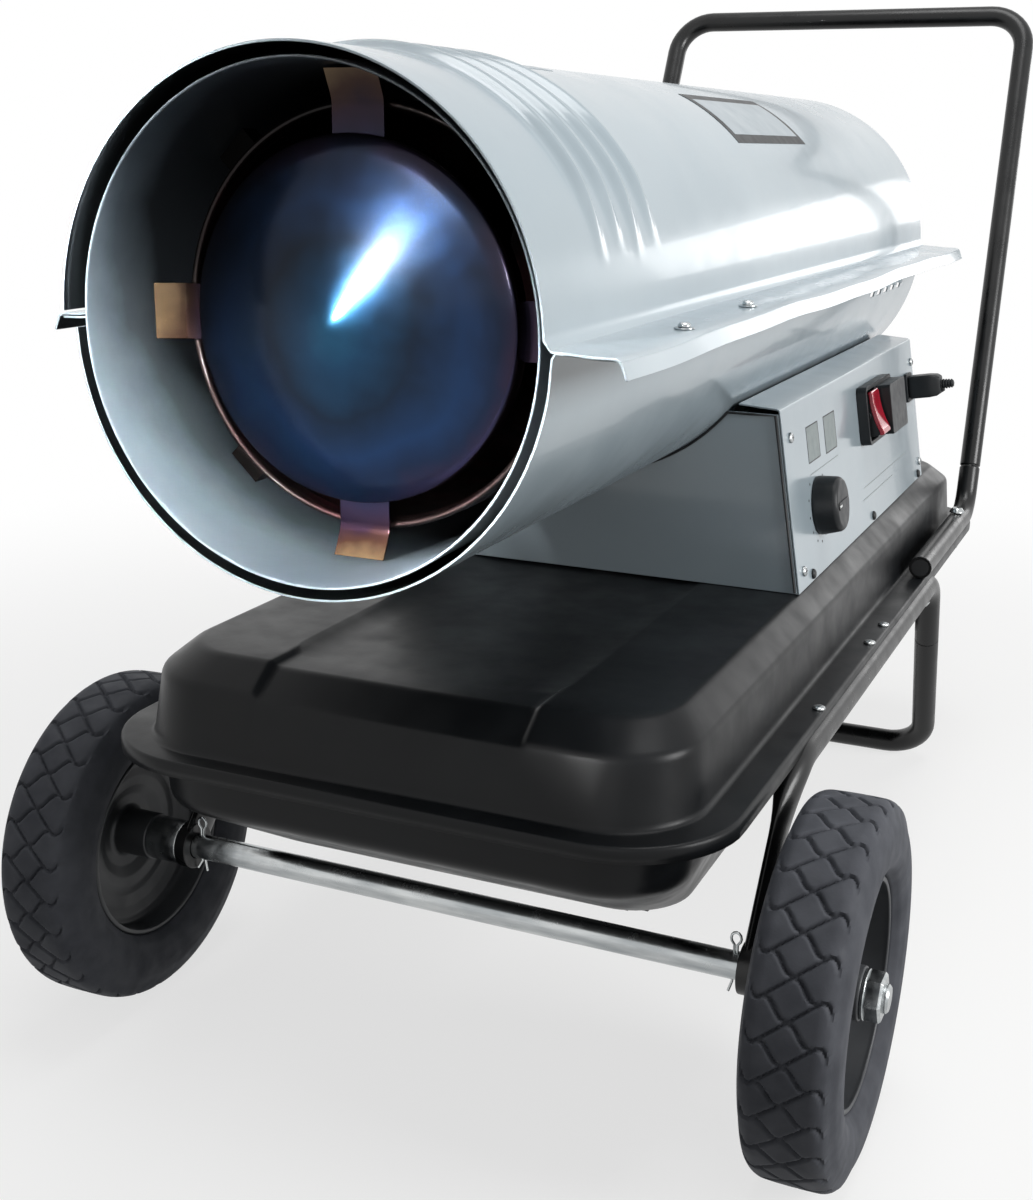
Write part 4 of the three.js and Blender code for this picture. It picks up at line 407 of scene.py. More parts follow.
def make_piece(name, shape, material, stands_for=(), body=None, bevel=0.0, segments=2, sharp=35):
    """An object from (points in millimetres, faces), finished, on its body, in place of CAD nodes."""
    points, faces = shape
    mesh = bpy.data.meshes.new(name)
    mesh.from_pydata([Vector(point) * MM for point in points], [], faces)
    work = bmesh.new()
    work.from_mesh(mesh)
    bmesh.ops.remove_doubles(work, verts=work.verts, dist=0.002 * MM)
    bmesh.ops.dissolve_degenerate(work, edges=work.edges, dist=0.001 * MM)
    bmesh.ops.recalc_face_normals(work, faces=work.faces)
    work.to_mesh(mesh)
    work.free()
    mesh.materials.append(material)
    piece = bpy.data.objects.new(name, mesh)
    scene.collection.objects.link(piece)
    round_edges(piece, bevel, segments, sharp)
    if isinstance(stands_for, str):
        stands_for = (stands_for,)
    if stands_for:
        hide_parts(*stands_for)
    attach(piece, body or BODY_OF.get(stands_for[0] if stands_for else "", "chassis"))
    return piece


# %% [markdown]
# These are the shapes. A sheet is two grids; a skin runs through rings; a turned piece spins a profile; a
# tube follows a bent path; a block and a plate are what they say. Each returns points and faces, so shapes
# can be moved, mirrored and added together before they become a piece.

# %% Sheets and skins
def sheet_body(outer, inner, closed=False, keep=None):
    """A closed body from two grids of points [row][column]; keep(row, column) says which cells exist."""
    rows, columns = len(outer), len(outer[0])
    cells = columns if closed else columns - 1
    points = [point for grid in (outer, inner) for row in grid for point in row]
    half = rows * columns

    def here(row, column):
        inside = 0 <= row < rows - 1 and (closed or 0 <= column < cells)
        return inside and (keep is None or keep(row, column % cells))

    def corner(row, column):
        return row * columns + column % columns

    faces = []
    for row in range(rows - 1):
        for column in range(cells):
            if not here(row, column):
                continue
            a, b = corner(row, column), corner(row, column + 1)
            c, d = corner(row + 1, column + 1), corner(row + 1, column)
            faces += [(a, b, c, d), (half + d, half + c, half + b, half + a)]
            for other, (p, q) in (((row - 1, column), (a, b)), ((row, column + 1), (b, c)),
                                  ((row + 1, column), (c, d)), ((row, column - 1), (d, a))):
                if not here(*other):
                    faces.append((q, p, half + p, half + q))
    used = sorted({index for face in faces for index in face})
    place = {index: order for order, index in enumerate(used)}
    return [points[index] for index in used], [tuple(place[index] for index in face) for face in faces]


def skin(rings, closed_ends=True, loop=False):
    """A skin through rings of equally many points."""
    count = len(rings[0])
    points = [point for ring in rings for point in ring]
    faces = []
    spans = len(rings) if loop else len(rings) - 1
    for span in range(spans):
        low, high = span * count, (span + 1) % len(rings) * count
        for i in range(count):
            j = (i + 1) % count
            faces.append((low + i, low + j, high + j, high + i))
    if closed_ends and not loop:
        faces.append(tuple(reversed(range(count))))
        faces.append(tuple(range(len(points) - count, len(points))))
    return points, faces


def together(*shapes):
    points, faces = [], []
    for more_points, more_faces in shapes:
        start = len(points)
        points += more_points
        faces += [tuple(start + index for index in face) for face in more_faces]
    return points, faces


def placed(shape, matrix):
    return [tuple(matrix @ Vector(point)) for point in shape[0]], shape[1]


def shifted(shape, x, y, z):
    return placed(shape, Matrix.Translation((x, y, z)))


def mirrored(shape):
    return [(-x, y, z) for x, y, z in shape[0]], [tuple(reversed(face)) for face in shape[1]]


def on_drum(*shapes):
    """Shapes that are drawn round the Y axis, lifted onto the drum's axis."""
    return shifted(together(*shapes), 0, 0, DRUM_AXIS)


def make_pair(*drawings, **options):
    """The right pieces as they are drawn, and then the left ones as their mirror images."""
    for side in ("right", "left"):
        for name, shape, material, node in drawings:
            shape = shape if side == "right" else mirrored(shape)
            make_piece(f"{name}_{side}", shape, material, f"{node}_{side}", **options)


print("sheet and skin ready")

# %% Turned pieces, tubes, blocks and plates
ALONG_X = Matrix(((0, 0, 1), (0, 1, 0), (-1, 0, 0))).to_4x4()
ALONG_Y = Matrix(((1, 0, 0), (0, 0, 1), (0, -1, 0))).to_4x4()
ALONG_Z = Matrix.Identity(4)


def turned(profile, steps=64, axis=ALONG_Z, closed=False, sides=None):
    """Spins (radius, along) points round an axis; closed joins the last point to the first."""
    rings = []
    for radius, along in profile:
        ring = []
        for i in range(steps):
            angle = 2 * math.pi * i / steps
            reach = radius if sides is None else radius * sides(angle, along)
            ring.append(tuple(axis @ Vector((reach * math.cos(angle), reach * math.sin(angle), along))))
        rings.append(ring)
    return skin(rings, closed_ends=not closed, loop=closed)


def band(inside, outside, start, end):
    """The profile of a ring with a square section, or of a disc where `inside` is 0."""
    return [(inside, start), (outside, start), (outside, end), (inside, end)]


def rounded(profile, reach, steps=4, closed=False):
    """Replaces the corners of a line of points by short curves that start `reach` before each corner."""
    vectors = [Vector(point) for point in profile]
    count = len(vectors)
    line = []
    for i, corner in enumerate(vectors):
        if not closed and i in (0, count - 1):
            line.append(tuple(corner))
            continue
        before, after = vectors[i - 1] - corner, vectors[(i + 1) % count] - corner
        start = corner + before * min(0.5, reach / before.length)
        end = corner + after * min(0.5, reach / after.length)
        for k in range(steps + 1):
            t = k / steps
            line.append(tuple((1 - t) ** 2 * start + 2 * t * (1 - t) * corner + t * t * end))
    return line


def turned_ring(profile, reach, steps, sides, axis):
    """A closed profile with rounded corners, spun round the axis."""
    return turned(rounded(profile, reach, steps, closed=True), sides, axis, closed=True)


def bent_path(corners, bend, steps=10):
    """Straight runs joined by round bends of one radius."""
    points = [Vector(corner) for corner in corners]
    line = [points[0]]
    for before, corner, after in zip(points, points[1:], points[2:]):
        first, second = (corner - before).normalized(), (after - corner).normalized()
        angle = first.angle(second)
        axis = first.cross(second).normalized()
        start = corner - first * bend * math.tan(angle / 2)
        side = axis.cross(first)
        for k in range(steps + 1):
            turn = angle * k / steps
            line.append(start + first * bend * math.sin(turn) + side * bend * (1 - math.cos(turn)))
    line.append(points[-1])
    return line


def run_lengths(points):
    """How far along the line each of its points lies."""
    lengths = [0.0]
    for a, b in zip(points, points[1:]):
        lengths.append(lengths[-1] + (b - a).length)
    return lengths


def tube(line, radius, sides=24, up=(0, 0, 1)):
    """A tube along a line; radius is a number, or gives (across, up) radii at a share of the length."""
    points = [Vector(point) for point in line]
    lengths = run_lengths(points)
    rings = []
    previous = Vector(up)
    for i, point in enumerate(points):
        heading = (points[min(i + 1, len(points) - 1)] - points[max(i - 1, 0)]).normalized()
        across = heading.cross(previous)
        across = across.normalized() if across.length > 1e-6 else heading.orthogonal().normalized()
        previous = across.cross(heading).normalized()
        wide, high = radius(lengths[i] / lengths[-1]) if callable(radius) else (radius, radius)
        rings.append([tuple(point + across * wide * math.cos(a) + previous * high * math.sin(a))
                      for a in (2 * math.pi * k / sides for k in range(sides))])
    return skin(rings)


def block(x0, x1, y0, y1, z0, z1):
    return skin([[(x0, y0, z), (x1, y0, z), (x1, y1, z), (x0, y1, z)] for z in (z0, z1)])


def plate(outline, low, high, axis=ALONG_Z):
    """A flat outline with a thickness along the axis."""
    return placed(skin([[(x, y, level) for x, y in outline] for level in (low, high)]), axis)


def round_corners(half_x, half_y, radius, steps=6):
    """The outline of a rounded rectangle about the origin."""
    outline = []
    for quarter, (sx, sy) in enumerate(((1, 1), (-1, 1), (-1, -1), (1, -1))):
        for k in range(steps + 1):
            angle = (quarter + k / steps) * math.pi / 2
            outline.append((sx * (half_x - radius) + radius * math.cos(angle),
                            sy * (half_y - radius) + radius * math.sin(angle)))
    return outline


def ease(value, start, end):
    """0 before start, 1 after end, smooth between them."""
    share = min(1.0, max(0.0, (value - start) / (end - start)))
    return share * share * (3 - 2 * share)


def steps_between(low, high, count):
    return [low + (high - low) * i / count for i in range(count + 1)]


print("shapes ready")


# %% [markdown]
# ## The drum
#
# ### Upper shell
#
# The upper shell is one sheet of 1.2 mm steel, rolled into an arch. Its long sides are folded outwards into
# flanges with a turned-down lip, and four ring beads are rolled in near the front to stiffen it. The beads
# fade out above the flanges, because the sheet is held flat there. The surface is a grid: one direction runs
# over the arch, the other along the drum. On the left the flange starts a little behind the rim.

# %% Upper shell
low, high = box_mm("upper_shell")
DRUM_FRONT, DRUM_REAR = low.y, high.y
DRUM_RADIUS = 125
SHELL_SHEET = 1.2
FLANGE_REACH = 33
LIP_REACH = 4
LIP_DROP = 8
LEFT_FLANGE_SETBACK = 37
BEAD_FIRST, BEAD_PITCH, BEAD_COUNT = 77, 24, 4
BEAD_HALF_WIDTH = 9
BEAD_HEIGHT = 4.4
WAVE_HEIGHT = 0.7
ARCH_STEPS = 120


def bead_rise(along, above):
    """How far a bead lifts the sheet, this far behind the rim and this angle above the flange."""
    rise = 0.0
    for i in range(BEAD_COUNT):
        offset = abs(along - BEAD_FIRST - i * BEAD_PITCH) / BEAD_HALF_WIDTH
        if offset < 1:
            rise += BEAD_HEIGHT * math.cos(offset * math.pi / 2) ** 2
    return rise * ease(above, 0.26 + 0.02 * math.sin(along / 7), 0.62)


def flange_wave(y):
    """The long flange isn't quite straight: it was folded by hand."""
    return WAVE_HEIGHT * (math.sin(y / 61) + 0.5 * math.sin(y / 23))


def half_shell(y, side, tip, arch):
    """A cross section: the right flange, the arch and the left flange, with the flange's wave."""
    waved = [(x, z + flange_wave(y) * ease(x, DRUM_RADIUS, tip)) for x, z in side]
    line = waved + arch + [(-x, z) for x, z in reversed(waved)]
    return [(x, y, DRUM_AXIS + z) for x, z in line]


def shell_section(y, depth):
    """The upper shell's cross section from the right lip to the left one, `depth` under its skin."""
    along = y - DRUM_FRONT
    tip = DRUM_RADIUS + FLANGE_REACH
    side = [(tip + LIP_REACH - depth, -LIP_DROP - 1), (tip + 0.25 * LIP_REACH - depth, -1.2 - 0.6 * depth),
            (tip - 2, 0.1 - depth), (tip - 12, 0.1 - depth), (DRUM_RADIUS + 14, 0.6 - depth),
            (DRUM_RADIUS + 2.5, 1.2 - depth)]
    arch = []
    for k in range(ARCH_STEPS + 1):
        angle = math.pi * (0.0125 + 0.975 * k / ARCH_STEPS)
        radius = DRUM_RADIUS - depth + bead_rise(along, min(angle, math.pi - angle))
        arch.append((radius * math.cos(angle), radius * math.sin(angle)))
    return half_shell(y, side, tip, arch)


shell_rows = [DRUM_FRONT + along for along in (
    [0, 1.5, 4, 8, 16, 24, 30, LEFT_FLANGE_SETBACK, 46, 56] + list(range(62, 170, 2))
    + list(range(176, int(DRUM_REAR - DRUM_FRONT), 20)) + [DRUM_REAR - DRUM_FRONT])]
outer = [shell_section(y, 0) for y in shell_rows]
inner = [shell_section(y, SHELL_SHEET) for y in shell_rows]
left_flange = len(outer[0]) - 7
notch_rows = shell_rows.index(DRUM_FRONT + LEFT_FLANGE_SETBACK)
make_piece("upper_shell_sheet", sheet_body(
    outer, inner, keep=lambda row, column: not (row < notch_rows and column >= left_flange)),
    shell_enamel, "upper_shell", bevel=0.4, sharp=40)
print("upper shell:", len(shell_rows), "rows of", len(outer[0]))


# %% [markdown]
# ### Lower shell
#
# The lower shell mirrors the arch, without beads, and its flanges lie flat under the upper ones. Near the
# rear, louvres are lanced into both sides: the sheet is slit and its edge pushed out to a small hood, so the
# fan can draw air. Here a louvre is a left-out cell with the row above it pushed outwards.

# %% Lower shell
LOUVRE_COUNT, LOUVRE_PITCH, LOUVRE_LENGTH = 5, 26, 16
LOUVRE_FIRST = DRUM_FRONT + 660
LOUVRE_TOP, LOUVRE_FOOT = 26, 31
HOOD_REACH, HOOD_ANGLE = 2.6, 0.075
slot_top, slot_foot = (math.asin(drop / DRUM_RADIUS) for drop in (LOUVRE_TOP, LOUVRE_FOOT))
louvre_starts = [LOUVRE_FIRST + i * LOUVRE_PITCH for i in range(LOUVRE_COUNT)]


def hood(y, angle):
    """How far a louvre's hood stands out: most at the slit, and nothing 9 mm above it."""
    below = min(angle, math.pi - angle)
    if not slot_top - HOOD_ANGLE < below < slot_top + 0.001:
        return 0.0
    for start in louvre_starts:
        if start < y < start + LOUVRE_LENGTH:
            along = min(y - start, start + LOUVRE_LENGTH - y)
            return HOOD_REACH * ease(along, 0, 4) * ease(below, slot_top - HOOD_ANGLE, slot_top)
    return 0.0


hood_angles = [0.03, slot_top - HOOD_ANGLE, slot_top - 0.05, slot_top - 0.025, slot_top, slot_foot]
bowl_angles = sorted(
    hood_angles + steps_between(slot_foot + 0.05, math.pi - slot_foot - 0.05, 84)
    + [math.pi - angle for angle in hood_angles])


def bowl_section(y, depth):
    """The lower shell's cross section, `depth` inside its skin."""
    tip = DRUM_RADIUS + FLANGE_REACH - 2.2
    side = [(tip, -1.5 - SHELL_SHEET + depth), (tip - 10, -1.5 - SHELL_SHEET + depth),
            (DRUM_RADIUS + 12, -1 - SHELL_SHEET + depth), (DRUM_RADIUS + 1, -0.6 - SHELL_SHEET + depth)]
    radii = [DRUM_RADIUS - depth + hood(y, angle) for angle in bowl_angles]
    arch = [(r * math.cos(angle), -r * math.sin(angle)) for r, angle in zip(radii, bowl_angles)]
    return half_shell(y, side, tip, arch)


bowl_rows = {LINER_FRONT, DRUM_FRONT + LEFT_FLANGE_SETBACK, DRUM_REAR}
bowl_rows |= {LINER_FRONT + step for step in range(4, int(DRUM_REAR - LINER_FRONT), 20)}
for start in louvre_starts:
    bowl_rows |= {start + step for step in (0, 2, 4, 12, 14, 16)}
bowl_rows = sorted(bowl_rows)
slot_cells = [4 + bowl_angles.index(slot_top), 4 + bowl_angles.index(math.pi - slot_foot)]
bowl_notch = bowl_rows.index(DRUM_FRONT + LEFT_FLANGE_SETBACK)
bowl_left = 4 + len(bowl_angles) - 1


def bowl_keeps(row, column):
    if row < bowl_notch and column >= bowl_left:
        return False
    middle = (bowl_rows[row] + bowl_rows[row + 1]) / 2
    in_louvre = any(start < middle < start + LOUVRE_LENGTH for start in louvre_starts)
    return not (in_louvre and column in slot_cells)


make_piece("lower_shell_sheet", sheet_body(
    [bowl_section(y, 0) for y in bowl_rows], [bowl_section(y, SHELL_SHEET) for y in bowl_rows],
    keep=bowl_keeps), shell_enamel, "lower_shell", bevel=0.35, sharp=40)
print("lower shell:", 2 * LOUVRE_COUNT, "louvres")


# %% [markdown]
# ### Liner
#
# The liner is a tube inside the shells. Its front edge is rounded off, which makes the thin pale ring that
# one sees in the outlet, with a black gap between it and the shells.

# %% Liner
liner_rear = liner_high.y
liner_out = LINER_RADIUS + SHELL_SHEET
flare = (liner_high.x - liner_low.x) / 2
liner_profile = [
    (LINER_RADIUS, LINER_FRONT + 1.2), (LINER_RADIUS + 0.4, LINER_FRONT + 0.1), (liner_out, LINER_FRONT),
    (liner_out + 0.4, LINER_FRONT + 1), (liner_out, LINER_FRONT + 2),
    (liner_out, liner_rear - 12), (flare, liner_rear - 6), (flare, liner_rear),
    (flare - SHELL_SHEET, liner_rear), (LINER_RADIUS, liner_rear - 6)]
make_piece("liner_tube", on_drum(turned_ring(liner_profile, 0.5, 2, 144, ALONG_Y)), liner_enamel,
           "heat_liner", sharp=50)
print("liner out to", round(flare, 1))


# %% [markdown]
# ### Baffle cone
#
# A shallow cone closes most of the outlet, so that the flame stays inside and the air is spread. It is spun
# from sheet, with a turned-back rim, and four tabs behind the rim reach out to the liner.

# %% Baffle cone
apex_y = box_mm("cone_baffle")[0].y
BAFFLE_RADIUS = 87.5
BAFFLE_RISE = 23
BAFFLE_SHEET = 1.5
TAB_WIDTH, TAB_END, TAB_LEAN = 28, 13.5, 7
RIM_DEPTH = 11
rim_y = apex_y + BAFFLE_RISE
front_line = [(0.0, apex_y + 0.8), (2.5, apex_y + 1.0)]
front_line += [(radius, apex_y + BAFFLE_RISE * radius / BAFFLE_RADIUS) for radius in range(6, 84, 6)]
front_line += [(85.2, rim_y - 0.9), (87.0, rim_y + 0.2), (BAFFLE_RADIUS, rim_y + 1.8),
               (BAFFLE_RADIUS, rim_y + RIM_DEPTH)]
back_line = [(radius, along + BAFFLE_SHEET) for radius, along in front_line[:-4]]
back_line += [(85.4, rim_y + 1.6), (86, rim_y + RIM_DEPTH)]
cone_shape = turned(front_line + back_line[::-1], 128, ALONG_Y)
SEAT = math.sqrt(LINER_RADIUS ** 2 - (TAB_WIDTH / 2) ** 2) - 0.8


def tab(width, seat):
    """A strip from behind the cone's rim out to the liner; its last stretch leans forwards."""
    half = width / 2
    grids = []
    for back in (rim_y + RIM_DEPTH - BAFFLE_SHEET, rim_y + RIM_DEPTH):
        line = rounded([(84, back), (seat - TAB_END, back), (seat, back - TAB_LEAN)], 3, 5)
        grids.append([[(x, y, z) for x in (-half, -half / 2, 0, half / 2, half)] for z, y in line])
    return sheet_body(*grids)


tabs = [placed(tab(TAB_WIDTH, SEAT), Matrix.Rotation(i * math.pi / 2, 4, "Y")) for i in range(4)]
make_piece("baffle_cone", on_drum(cone_shape, *tabs), baffle_steel, "cone_baffle", bevel=0.25, sharp=40)
print("cone from y", round(apex_y, 1), "to its rim at", round(rim_y, 1))


# %% [markdown]
# ### Combustion chamber
#
# Behind the cone lies the pot in which the flame burns. Its front edge is rolled over a wire and a second
# bead follows: the edge is the thin bright ring that shows behind the cone. Lugs hold the pot in the liner.

# %% Combustion chamber
chamber_low, chamber_high = box_mm("combustion_chamber")
CHAMBER_RADIUS = 103
LUG_HALF_WIDTH, LUG_LENGTH = 10, 12
chamber_front, chamber_rear = chamber_low.y, chamber_high.y
wall = [(CHAMBER_RADIUS - 4, chamber_front + 1.5), (CHAMBER_RADIUS - 2.6, chamber_front),
        (CHAMBER_RADIUS - 0.8, chamber_front), (CHAMBER_RADIUS, chamber_front + 2),
        (CHAMBER_RADIUS - 0.6, chamber_front + 5), (CHAMBER_RADIUS - 2, chamber_front + 8),
        (CHAMBER_RADIUS, chamber_front + 12), (CHAMBER_RADIUS, chamber_rear), (48, chamber_rear),
        (48, chamber_rear - 1.5), (CHAMBER_RADIUS - 3, chamber_rear - 1.5),
        (CHAMBER_RADIUS - 3, chamber_front + 12), (CHAMBER_RADIUS - 5, chamber_front + 8),
        (CHAMBER_RADIUS - 4, chamber_front + 4)]
lugs = []
for i in range(4):
    spin = Matrix.Rotation(math.pi / 4 + i * math.pi / 2, 4, "Y")
    for start in (chamber_front + LUG_LENGTH, chamber_rear - 2 * LUG_LENGTH):
        lug = block(-LUG_HALF_WIDTH, LUG_HALF_WIDTH, start, start + LUG_LENGTH, CHAMBER_RADIUS - 2, SEAT)
        lugs.append(placed(lug, spin))
make_piece("chamber_pot", on_drum(turned_ring(wall, 0.8, 2, 128, ALONG_Y), *lugs), chamber_steel,
           "combustion_chamber", sharp=40)
print("chamber radius", CHAMBER_RADIUS)


# %% [markdown]
# ## The tank
#
# The tank is two deep-drawn pans, joined at a flange. Seen from above each is a rounded rectangle that gets
# smaller in steps: flange, wall, sloping shoulder, flat top. So a pan is a row of rings, one for each step,
# with the corners between them softened, and a fine grid that fills the flat part. A function of the place
# presses the shallow channel in the top and the sump in the bottom.

# %% Rings and flats of a pan
tank_low, tank_high = box_mm("tank_upper")
TANK_FRONT, TANK_REAR = tank_low.y, tank_high.y
TANK_MIDDLE = (TANK_FRONT + TANK_REAR) / 2
FLANGE_HALF_WIDTH = tank_high.x
FLANGE_HALF_LENGTH = (TANK_REAR - TANK_FRONT) / 2
FLANGE_CORNER = 66
TANK_TOP = tank_high.z
TANK_SHEET = 1.5
ARC_STEPS = 7


def side_places(half, dense, near):
    """Places along a straight side: even, but close together round the places in `dense`."""
    fixed = steps_between(-half, half, max(2, int(2 * half / 22)))
    for centre in dense:
        fixed = [place for place in fixed if abs(place - centre) > near]
        fixed += [centre + step for step in (-near, -near / 2, -near / 4, 0, near / 4, near / 2, near)]
    return sorted(fixed)


def pan_ring(side, end, corner, z, xs, ys):
    """One ring, counter-clockwise, with the same number of points whatever its size."""
    half_x, half_y = FLANGE_HALF_WIDTH - side, FLANGE_HALF_LENGTH - end
    radius = max(2.0, FLANGE_CORNER - corner)
    flat_x, flat_y = half_x - radius, half_y - radius

    def scaled(places, flat):
        limit = max(abs(places[0]), abs(places[-1]))
        inside = 0.86 * limit
        reach = [inside + (abs(p) - inside) / (limit - inside) * (flat - inside) for p in places]
        return [p if abs(p) <= inside else math.copysign(r, p) for p, r in zip(places, reach)]

    across, along = scaled(xs, flat_x), scaled(ys, flat_y)
    sides = [[(half_x, y) for y in along], [(x, half_y) for x in reversed(across)],
             [(-half_x, y) for y in reversed(along)], [(x, -half_y) for x in across]]
    centres = [(flat_x, flat_y), (-flat_x, flat_y), (-flat_x, -flat_y), (flat_x, -flat_y)]
    ring = []
    for quarter in range(4):
        ring += sides[quarter]
        cx, cy = centres[quarter]
        for k in range(1, ARC_STEPS * 2):
            angle = (quarter + k / (ARC_STEPS * 2)) * math.pi / 2
            ring.append((cx + radius * math.cos(angle), cy + radius * math.sin(angle)))
    return [(x, TANK_MIDDLE + y, z) for x, y in ring]


def pan_flat(ring, nx, ny):
    """Fills a ring with a grid whose corner points lie in the middle of the ring's corners."""
    count = len(ring)
    columns, rows = nx + 2 * ARC_STEPS, ny + 2 * ARC_STEPS
    start = count - ARC_STEPS
    east = [ring[(start + i) % count] for i in range(rows)]
    north = [ring[(start + rows - 1 + i) % count] for i in range(columns)][::-1]
    west = [ring[(start + rows + columns - 2 + i) % count] for i in range(rows)][::-1]
    south = [ring[(start + 2 * rows + columns - 3 + i) % count] for i in range(columns)]
    grid = []
    for j in range(rows):
        v = (east[j][1] - east[0][1]) / (east[-1][1] - east[0][1])
        row = []
        for i in range(columns):
            u = (south[i][0] - south[0][0]) / (south[-1][0] - south[0][0])
            point = []
            for axis in range(3):
                edges = ((1 - v) * south[i][axis] + v * north[i][axis]
                         + (1 - u) * west[j][axis] + u * east[j][axis])
                corners = ((1 - u) * (1 - v) * south[0][axis] + u * (1 - v) * south[-1][axis]
                           + (1 - u) * v * north[0][axis] + u * v * north[-1][axis])
                point.append(edges - corners)
            row.append(tuple(point))
        grid.append(row)
    return grid


def pan(profile, xs, ys, press):
    """A sheet from its outer edge to its flat, pressed by a function of the place."""
    rings = [pan_ring(*level, xs, ys) for level in profile]
    grid = pan_flat(rings[-1], len(xs), len(ys))
    points, faces = skin(rings, closed_ends=False)
    more, cells = [], []
    columns = len(grid[0])
    for j, row in enumerate(grid):
        for i, point in enumerate(row):
            more.append(point)
            if i and j:
                here, below = j * columns + i, (j - 1) * columns + i
                cells.append((below - 1, below, here, here - 1))
    points, faces = together((points, faces), (more, cells))
    return [press(*point) for point in points], faces


print("pan helpers ready, tank from y", round(TANK_FRONT, 1), "to", round(TANK_REAR, 1))


# %% [markdown]
# The pans are open sheets, so each gets its thickness from a Solidify modifier, which adds it on the inside.
# The hole for the filler is made by leaving out the cells over it and drawing their edge onto a circle.

# %% Sheet pieces with a modifier, and holes in them
def make_sheet(name, shape, material, stands_for, thickness, inside, sharp=40):
    """An open sheet whose thickness is added towards the point `inside`."""
    piece = make_piece(name, shape, material, stands_for, sharp=sharp)
    mesh = piece.data
    centre = Vector(inside) * MM
    outward = sum((face.center - centre).dot(face.normal) * face.area for face in mesh.polygons)
    if outward < 0:
        mesh.flip_normals()
    skin_depth = piece.modifiers.new("sheet_thickness", "SOLIDIFY")
    skin_depth.thickness = thickness * MM
    skin_depth.offset = -1
    return piece


def punched(shape, x0, y0, radius, level):
    """The same sheet with a round hole through its cells near that level."""
    points, faces = list(shape[0]), shape[1]
    kept, edge = [], set()
    for face in faces:
        middle = [sum(points[i][axis] for i in face) / len(face) for axis in range(3)]
        gone = math.hypot(middle[0] - x0, middle[1] - y0) < radius and abs(middle[2] - level) < 6
        if gone:
            edge.update(face)
        else:
            kept.append(face)
    staying = {i for face in kept for i in face}
    for i in edge & staying:
        dx, dy = points[i][0] - x0, points[i][1] - y0
        scale = radius / math.hypot(dx, dy)
        points[i] = (x0 + dx * scale, y0 + dy * scale, points[i][2])
    used = sorted(staying)
    place = {index: order for order, index in enumerate(used)}
    return [points[i] for i in used], [tuple(place[i] for i in face) for face in kept]


print("sheet pieces ready")


# %% [markdown]
# ### Upper pan
#
# From its edge inwards the upper pan has a turned-down lip, the flange, a steep wall, a sloping shoulder and
# the flat top. The front half of the top has a wide, shallow channel, which runs on over the shoulder and
# ends at the wall.

# %% Upper pan
FLANGE_Z = 211
TANK_LIP = 9
WALL_HEIGHT = 37
CHANNEL_HALF_WIDTH = 82
CHANNEL_DEPTH = 2.8
box_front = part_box("box_front_wall")[0].y / MM
filler_low, filler_high = box_mm("filler_neck")
FILLER = plan_centre(filler_low, filler_high)

# each level: how far it stands in at the sides, at the ends and in its corners' radius, and its height
upper_profile = rounded([
    (0.3, 0.3, 0, FLANGE_Z - TANK_LIP), (0, 0, 0, FLANGE_Z), (21, 14, 14, FLANGE_Z),
    (24, 25, 21, FLANGE_Z + WALL_HEIGHT), (39, 45, 28, TANK_TOP), (60, 66, 36, TANK_TOP)], 4.2, 4)
pan_xs = side_places(106, (-CHANNEL_HALF_WIDTH, CHANNEL_HALF_WIDTH), 7)
pan_ys = side_places(360, (FILLER[1] - TANK_MIDDLE,), 16)


def press_channel(x, y, z):
    """Inwards on the wall, the shoulder and the top, by the channel's depth."""
    depth = CHANNEL_DEPTH * (1 - ease(abs(x), CHANNEL_HALF_WIDTH - 3.5, CHANNEL_HALF_WIDTH + 1))
    wall_top_z = FLANGE_Z + WALL_HEIGHT
    depth *= ease(z, wall_top_z - 4, wall_top_z + 1) * (1 - ease(y, box_front - 2, box_front + 6))
    slope = ease(y, TANK_FRONT + 24, TANK_FRONT + 46)
    return x, y + depth * (1 - slope), z - depth * slope


upper_pan = pan(upper_profile, pan_xs, pan_ys, press_channel)
make_sheet("tank_upper_pan", punched(upper_pan, *FILLER, 24, TANK_TOP), tank_enamel, "tank_upper",
           TANK_SHEET, (0, TANK_MIDDLE, FLANGE_Z - 60), sharp=50)
print("upper pan:", len(upper_pan[1]), "cells")


# %% [markdown]
# ### Lower pan
#
# The lower pan hangs under the flange: a short wall, a long bevel towards the front and the rear, and a flat
# bottom with a sump for the drain plug.

# %% Lower pan
lower_flange_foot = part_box("tank_lower")[1].z / MM - TANK_SHEET
LOWER_WALL, LOWER_BEVEL = 36, 50
bottom = lower_flange_foot - LOWER_WALL - LOWER_BEVEL
drain_low, drain_high = box_mm("drain_plug")
SUMP = plan_centre(drain_low, drain_high)
SUMP_HALF = (42, 85)
SUMP_DROP = 14

lower_profile = rounded([
    (2.5, 2.5, 2.5, lower_flange_foot), (25, 18, 14, lower_flange_foot),
    (28, 21, 21, lower_flange_foot - LOWER_WALL),
    (50, 105, 28, bottom), (62, 118, 32, bottom)], 7, 5)


def press_sump(x, y, z):
    if z > bottom + 2:
        return x, y, z
    inside_x = 1 - ease(abs(x - SUMP[0]), SUMP_HALF[0] - 12, SUMP_HALF[0])
    inside_y = 1 - ease(abs(y - SUMP[1]), SUMP_HALF[1] - 12, SUMP_HALF[1])
    return x, y, z - SUMP_DROP * min(inside_x, inside_y)


lower_xs = side_places(104, (SUMP[0] - 37, SUMP[0] + 22), 7)
lower_ys = side_places(285, (SUMP[1] - 79 - TANK_MIDDLE, SUMP[1] + 79 - TANK_MIDDLE), 9)
lower_pan = pan(lower_profile, lower_xs, lower_ys, press_sump)
make_sheet("tank_lower_pan", lower_pan, tank_enamel, "tank_lower", TANK_SHEET,
           (0, TANK_MIDDLE, FLANGE_Z + 60), sharp=50)
print("bottom at z", round(bottom, 1))


